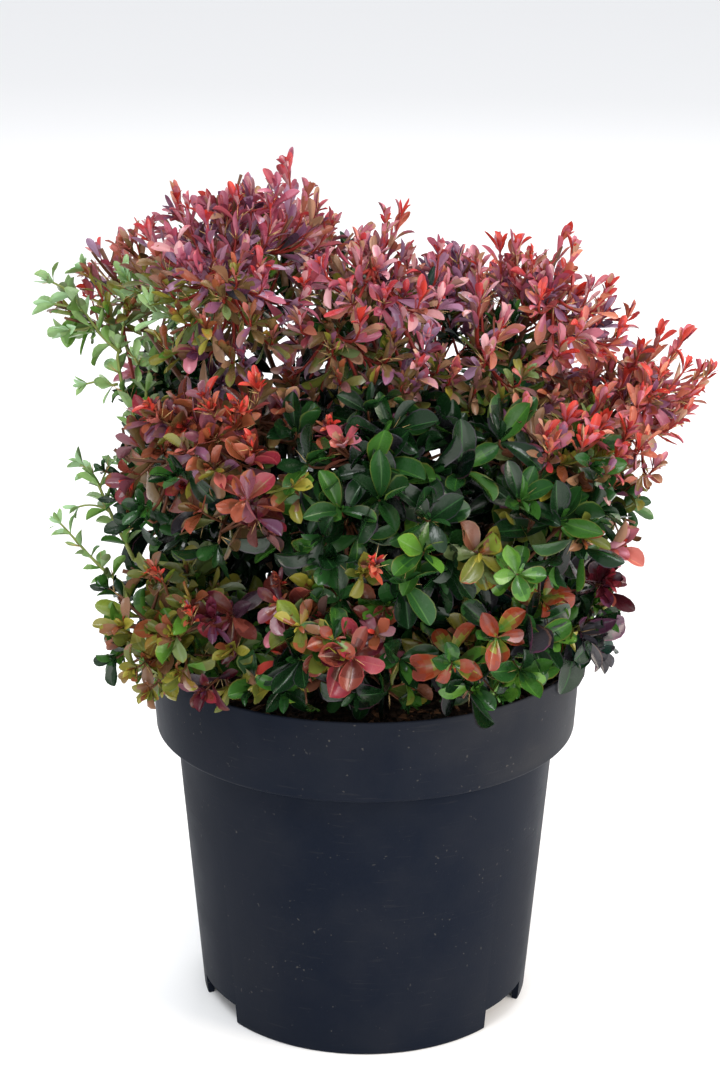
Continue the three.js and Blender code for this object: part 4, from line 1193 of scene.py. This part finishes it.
# %% Shoots of the outline
# Each: pixel of the tip, how far left or right the shoot starts below it, colours, size
TIPS = table("""
288 164 8 crimson 1; 270 204 6 crimson 0.9; 250 190 6 crimson 0.95; 238 196 0 crimson 0.9;
315 208 -6 rose 1; 330 222 -18 rose 0.9; 178 198 12 scarlet 1; 207 216 4 crimson 0.95;
152 228 12 crimson 1; 121 246 18 bronze 1; 136 236 12 bronze 0.8; 90 272 26 straw 0.8;
401 213 -14 scarlet 0.9; 306 192 -4 rose 0.9; 188 206 2 crimson 0.9; 386 218 -4 rose 0.9;
362 243 0 rose 0.9; 439 248 0 crimson 0.9; 458 254 0 plum 0.95; 478 262 4 rose 0.9;
500 246 2 scarlet 1; 516 246 -4 scarlet 1; 532 256 -4 rose 0.9; 562 236 -12 scarlet 0.9;
574 248 -14 scarlet 0.9; 590 284 -12 crimson 0.9; 606 288 -12 scarlet 0.9; 628 312 -18 scarlet 0.9;
604 305 -10 plum 0.9; 657 335 -20 scarlet 0.9; 683 335 -28 scarlet 0.85; 686 364 -30 scarlet 0.9;
712 366 -36 scarlet 0.8; 686 409 -34 scarlet 0.85; 660 372 -18 scarlet 0.9
""")
TIP_DEPTH_IN, TIP_LEAFY, TIP_BARE, NEARER = 6.0, 40, 0.08, 4
TIP_BY, LOWER_BY, BEND_BY, LOWER_SHIFT = 4, 78, 48, 1.2  # pixels below the one listed, and a share
for u, v, start, ramp, size in TIPS:
    tip, mass = on_sight(u, v + TIP_BY, TIP_DEPTH_IN)
    below = seen_at(u + start * LOWER_SHIFT, v + LOWER_BY, tip[1] - NEARER)
    line = [nearest_limb(mass, below, 0.1), seen_at(u + start, v + BEND_BY, tip[1]), tip]
    bare = max(1 - TIP_LEAFY / line_length(line), TIP_BARE)
    grow_shoot(mass, line, "upright", ramp, own_generator(u, v), size, bare, radii=(0.8, 0.4))

# %% Green shoots that arch out at the left
# Each: mass, size, whether it starts at a limb or on another shoot, first and last depth, pixels
GREEN_SHOOTS = table("""
middle_left 1 limb -20 4 150 470 140 440 129 404 118 370 122 330 124 302;
top_far_left 1 limb -4 6 120 352 106 340 94 326 82 308 66 290 48 280;
middle_left 0.9 shoot -5 -6 118 384 110 385 104 383 96 382 86 384;
top_far_left 1 shoot 0 2 94 326 86 328 76 330 68 331;
low_front_left 0.9 limb -40 -26 134 560 122 536 110 512 100 488 92 472 80 464;
low_front_left 0.75 limb -44 -34 122 584 104 570 88 554 72 536 57 520;
middle_left 0.95 limb -14 0 158 440 148 420 146 392 150 366;
low_front_left 0.9 shoot -34 -32 110 512 101 507 90 505 78 507;
low_front_left 0.8 shoot -31 -30 100 488 104 476 109 466;
top_far_left 1.2 shoot 1 4 84 311 75 309 66 306 54 304
""")


def through(points):
    """The controls of the Bezier curve that passes through points at even steps, from the
    linear equations that say so."""
    weights = bernstein(np.linspace(0, 1, len(points)), len(points) - 1)
    return np.linalg.solve(np.array(weights).T, points)


for mass_name, size, start, first, last, *pixels in GREEN_SHOOTS:
    pixels = np.reshape(pixels, (-1, 2))
    mass = next(mass for mass in masses if mass["name"] == mass_name)
    depths = np.linspace(first, last, len(pixels))
    seen = [seen_at(u, v, depth) for (u, v), depth in zip(pixels, depths)]
    if start == "limb":
        root = nearest_limb(mass, seen[0], 0.2)
        lead = [root, (root + seen[0]) / 2, seen[0]]
        shoots.append(dict(mass=mass, controls=lead, radii=(1.15, 1.0), wood="green"))
    radii = (1.0, 0.45) if start == "limb" else (0.6, 0.4)
    rng = own_generator(*pixels[-1])
    grow_shoot(mass, through(np.array(seen)), "slender", "fresh", rng, size, radii=radii)
print("with listed sprays:", len(shoots))

# %% [markdown]
# ## Making the leaves
# A leaf is a small grid. Its width follows a power of the way along times a power of the way
# left, which gives the spoon outline; its middle line bends in an arc; its two halves fold up
# like a shallow boat. All leaves of one size are worked out together, as one array with a row
# for each leaf. Large leaves have narrow strips at the edges and along the vein, so that these
# can take tints of their own.

# %% Leaf surfaces
LEAF_GRIDS = {  # where the rows lie from stalk to tip, and the columns from edge to edge
    "large": ([0, 0.12, 0.3, 0.48, 0.65, 0.8, 0.91, 0.97, 1], [-1, -0.92, -0.5, -0.06, 0.06, 0.5, 0.92, 1]),
    "middling": ([0, 0.16, 0.38, 0.6, 0.78, 0.9, 0.97, 1], [-1, -0.5, 0, 0.5, 1]),
    "small": ([0, 0.28, 0.55, 0.78, 0.94, 1], [-1, 0, 1]),
}
STALK_WIDTH, TIP_WIDTH, LEAST_BEND = 0.07, 0.05, 0.02
LARGE_WIDTH, MIDDLING_LENGTH = 7.2, 10  # millimetres from which a leaf counts as such
LEAF_CLEARANCE = 1.0  # how far above the mix and the rim a leaf's middle and tip have to be
EDGE_BLUSH = 0.35  # how much of the change in colour goes from the vein to the edge


def leaf_surfaces(leaves, rows, columns):
    """Points of every leaf's grid. Half width = length x aspect / 2 x outline, where outline =
    v^a (1 - v)^b over its highest value, and no less than the stalk's or the tip's. The middle
    line is an arc through the bend angle, and the halves rise by fold x |u| + curl x u^2, with
    a wave along the edge, times the half width. Towards the tip the rows turn by the twist and
    move aside by the sway."""
    v = np.array(rows)[None, :, None]
    u = np.array(columns)[None, None, :]
    length, aspect, bend, fold, curl, twist, sway, wave = (
        leaves[name][:, None, None]
        for name in ("length", "aspect", "bend", "fold", "curl", "twist", "sway", "wave"))
    a, b = leaves["outline"].T[:, :, None, None]
    peak = (a / (a + b)) ** a * (b / (a + b)) ** b
    outline = v**a * (1 - v) ** b / peak
    half = length * aspect / 2 * np.maximum(outline, np.where(v < 0.5, STALK_WIDTH, TIP_WIDTH))
    bend = np.where(np.abs(bend) < LEAST_BEND, LEAST_BEND, bend)
    reach, rise = length * np.sin(bend * v) / bend, length * (1 - np.cos(bend * v)) / bend
    boat = fold * np.abs(u) + curl * u**2
    boat = boat + wave * np.sin(9 * v + 7 * twist) * np.abs(u) ** 3
    turn = twist * v
    aside = half * u * np.cos(turn) - half * boat * np.sin(turn) + sway * length * v**2
    above = half * u * np.sin(turn) + half * boat * np.cos(turn)
    root, heading, face = (leaves[name][:, None, None] for name in ("root", "heading", "face"))
    across = np.cross(face, heading)
    up = face * np.cos(bend * v)[..., None] - heading * np.sin(bend * v)[..., None]
    points = root + heading * reach[..., None] + face * rise[..., None]
    return points + across * aside[..., None] + up * above[..., None]


def leaf_tints(leaves, rows, columns):
    """The tint of every face. Its step on the leaf's ramp is the leaf's own, plus the blush
    times how far along the leaf it lies, counted from the middle. On the widest grid the edge
    strips and the strip along the vein have tints of their own."""
    rows, columns = np.array(rows), np.array(columns)
    along, aside = (rows[1:] + rows[:-1]) / 2, np.abs(columns[1:] + columns[:-1]) / 2
    outward = (along - 0.5)[:, None] + EDGE_BLUSH * (aside - 0.4)[None]
    step = leaves["age"][:, None, None] + leaves["blush"][:, None, None] * outward
    step = np.clip(np.round(step), 0, RAMP_STEPS - 1).astype(int)
    tints = np.take_along_axis(leaves["tints"], step.reshape(len(step), -1), 1).reshape(step.shape)
    if len(columns) == len(LEAF_GRIDS["large"][1]):
        tints[:, 1:, [0, -1]] = edge_tint[tints[:, 1:, [0, -1]]]
        tints[:, :, 3] = vein_tint[tints[:, :, 3]]
    return tints


def gathered(rows):
    """Rows of arrays under the same names, each name's arrays joined into one."""
    return {name: np.concatenate([row[name] for row in rows]) for name in rows[0]}


def leaf_finish(number, shade):
    """One plain tint. Fine noise makes the shine uneven and raises the net of veins a little;
    dark, older leaves shine more."""
    light = min(sum(shade) / 400, 1)
    material, make = finish(f"leaf tint {number + 1}", shade, 0.4, lerp(0.34, 0.52, light))
    make.feed("Roughness", make.noise(160.0, 2.0) * 0.3 + lerp(0.08, 0.18, light))
    make.bump(make.noise(700.0, 2.0), 0.25, 0.0004)
    return material


leaves = gathered(leaf_rows)
tips = leaves["root"] + leaves["heading"] * leaves["length"][:, None]
halfway = (leaves["root"] + tips) / 2
clear = [over_pot(spots, leaves["hang"], LEAF_CLEARANCE) for spots in (tips, halfway)]
clear = clear[0] & clear[1]
leaves = {name: values[clear] for name, values in leaves.items()}
print("leaves clear of the pot:", clear.sum(), "of", len(clear))

leaf_finishes = [leaf_finish(number, shade) for number, shade in enumerate(palette)]
wide = leaves["length"] * leaves["aspect"] > LARGE_WIDTH
leaf_sizes = np.where(wide, 0, np.where(leaves["length"] > MIDDLING_LENGTH, 1, 2))
for part in dict.fromkeys(mass["piece"] for mass in masses):
    members = [mass for mass in masses if mass["piece"] == part]
    own = np.isin(leaves["mass"], [mass["index"] for mass in members])
    points, faces, tints, start = [], [], [], 0
    for size, (rows, columns) in enumerate(LEAF_GRIDS.values()):
        chosen = {name: values[own & (leaf_sizes == size)] for name, values in leaves.items()}
        count, per_leaf = len(chosen["length"]), len(rows) * len(columns)
        points.append(leaf_surfaces(chosen, rows, columns).reshape(-1, 3))
        faces.append(copies(grid_faces(len(rows), len(columns)), count, per_leaf, start))
        tints.append(leaf_tints(chosen, rows, columns).reshape(-1))
        start += count * per_leaf
    piece("leaves_" + part, np.vstack(points), np.vstack(faces), leaf_finishes, np.concatenate(tints),
          slot="leaves_" + members[0]["level"], replaces=["foliage_" + mass["name"] for mass in members])

# %% [markdown]
# ## Twigs
# Young barberry wood is red at the top of the plant, brown below and green on the newest
# shoots. All limbs and shoots become thin tubes.

# %% Make the twigs
TWIG_TINTS = {"red": ((96, 24, 26), (168, 58, 46)), "brown": ((62, 38, 28), (126, 78, 52)),
              "green": ((84, 96, 40), (150, 158, 84))}
TWIG_RINGS, TWIG_SIDES, TWIG_UNEVENNESS = 7, 4, 0.18


def twig_finish(name, dark, pale):
    material, make = finish("twig " + name, dark, 0.55, 0.4)
    streaks = make.noise(220.0, 3.0, stretch=(1, 1, 0.4))
    make.feed("Base Color", streaks.blend(linear(dark), linear(pale)))
    make.bump(streaks, 0.4, 0.0003)
    return material


shoots += [dict(twig, mass=mass, wood="brown") for mass in masses for twig in mass["limbs"]]
twig_finishes = [twig_finish(name, *shades) for name, shades in TWIG_TINTS.items()]
steps = np.linspace(0, 1, TWIG_RINGS)
paths = np.array([curve(shoot["controls"], steps) for shoot in shoots])
radii = np.array([lerp(*shoot["radii"], steps) for shoot in shoots])
radii = radii * (1 + TWIG_UNEVENNESS * np.random.default_rng(31).uniform(-1, 1, radii.shape))
woods = np.array([list(TWIG_TINTS).index(shoot["wood"]) for shoot in shoots])
for level in ("low", "middle", "top"):
    own = np.array([shoot["mass"]["level"] == level for shoot in shoots])
    points, _, faces = tubes(paths[own], radii[own], TWIG_SIDES)
    wood = np.repeat(woods[own], len(faces) // own.sum())
    piece("twigs_" + level, points, faces, twig_finishes, wood, slot="leaves_" + level)

# %% [markdown]
# ## Spines
# Barberries are armed: below each cluster of leaves stands a spine, mostly in three parts, pale
# and as thin as a needle. Each part is a narrow spike with three sides.

# %% Make the spines
SPINE_LENGTH, SPINE_WIDTH, SPINE_PARTS, SPINE_SPREAD = (6.5, 10.5), 0.6, 3, 0.8
SPINE_SHARE, SPINE_ANGLES, SPINE_EXPOSURE, SPINE_DROP = 0.4, (0.6, 1.15), 0.6, 6
SPINE_ON_MASSES = ("top", "middle_front", "middle_left", "middle_right", "low_front", "low_right")
SPIKE_FACES = [[0, 1, 3], [1, 2, 3], [2, 0, 3], [2, 1, 0]]

spines = gathered(spine_rows)
rng = np.random.default_rng(77)
fronts = [mass["index"] for mass in masses if mass["name"].startswith(SPINE_ON_MASSES)]
kept = np.isin(spines["mass"], fronts) & (exposure(spines["root"]) > SPINE_EXPOSURE)
kept &= rng.uniform(size=len(kept)) < SPINE_SHARE
hangs = np.array([mass["hang"] for mass in masses])[spines["mass"]]
kept &= over_pot(spines["root"] - SPINE_DROP * UP, hangs)
spines = {name: np.repeat(values[kept], SPINE_PARTS, 0) for name, values in spines.items()}
count = len(spines["turn"])
aside = np.tile(np.linspace(-SPINE_SPREAD, SPINE_SPREAD, SPINE_PARTS), count // SPINE_PARTS)
heading = tilted(spines["axis"], spines["turn"] + aside, rng.uniform(*SPINE_ANGLES, count))
across = unit(np.cross(heading, spines["axis"]))
over = np.cross(heading, across)
corners = [across, -0.5 * across + 0.87 * over, -0.5 * across - 0.87 * over]
feet = [spines["root"] + corner * SPINE_WIDTH / 2 for corner in corners]
lengths = rng.uniform(*SPINE_LENGTH, count)[:, None]
points = np.stack(feet + [spines["root"] + heading * lengths], 1)
spine_finish = twig_finish("spine", (176, 138, 84), (214, 184, 128))
made = piece("spines", points, copies(SPIKE_FACES, count, 4), [spine_finish], slot="leaves_middle")
weld(made)
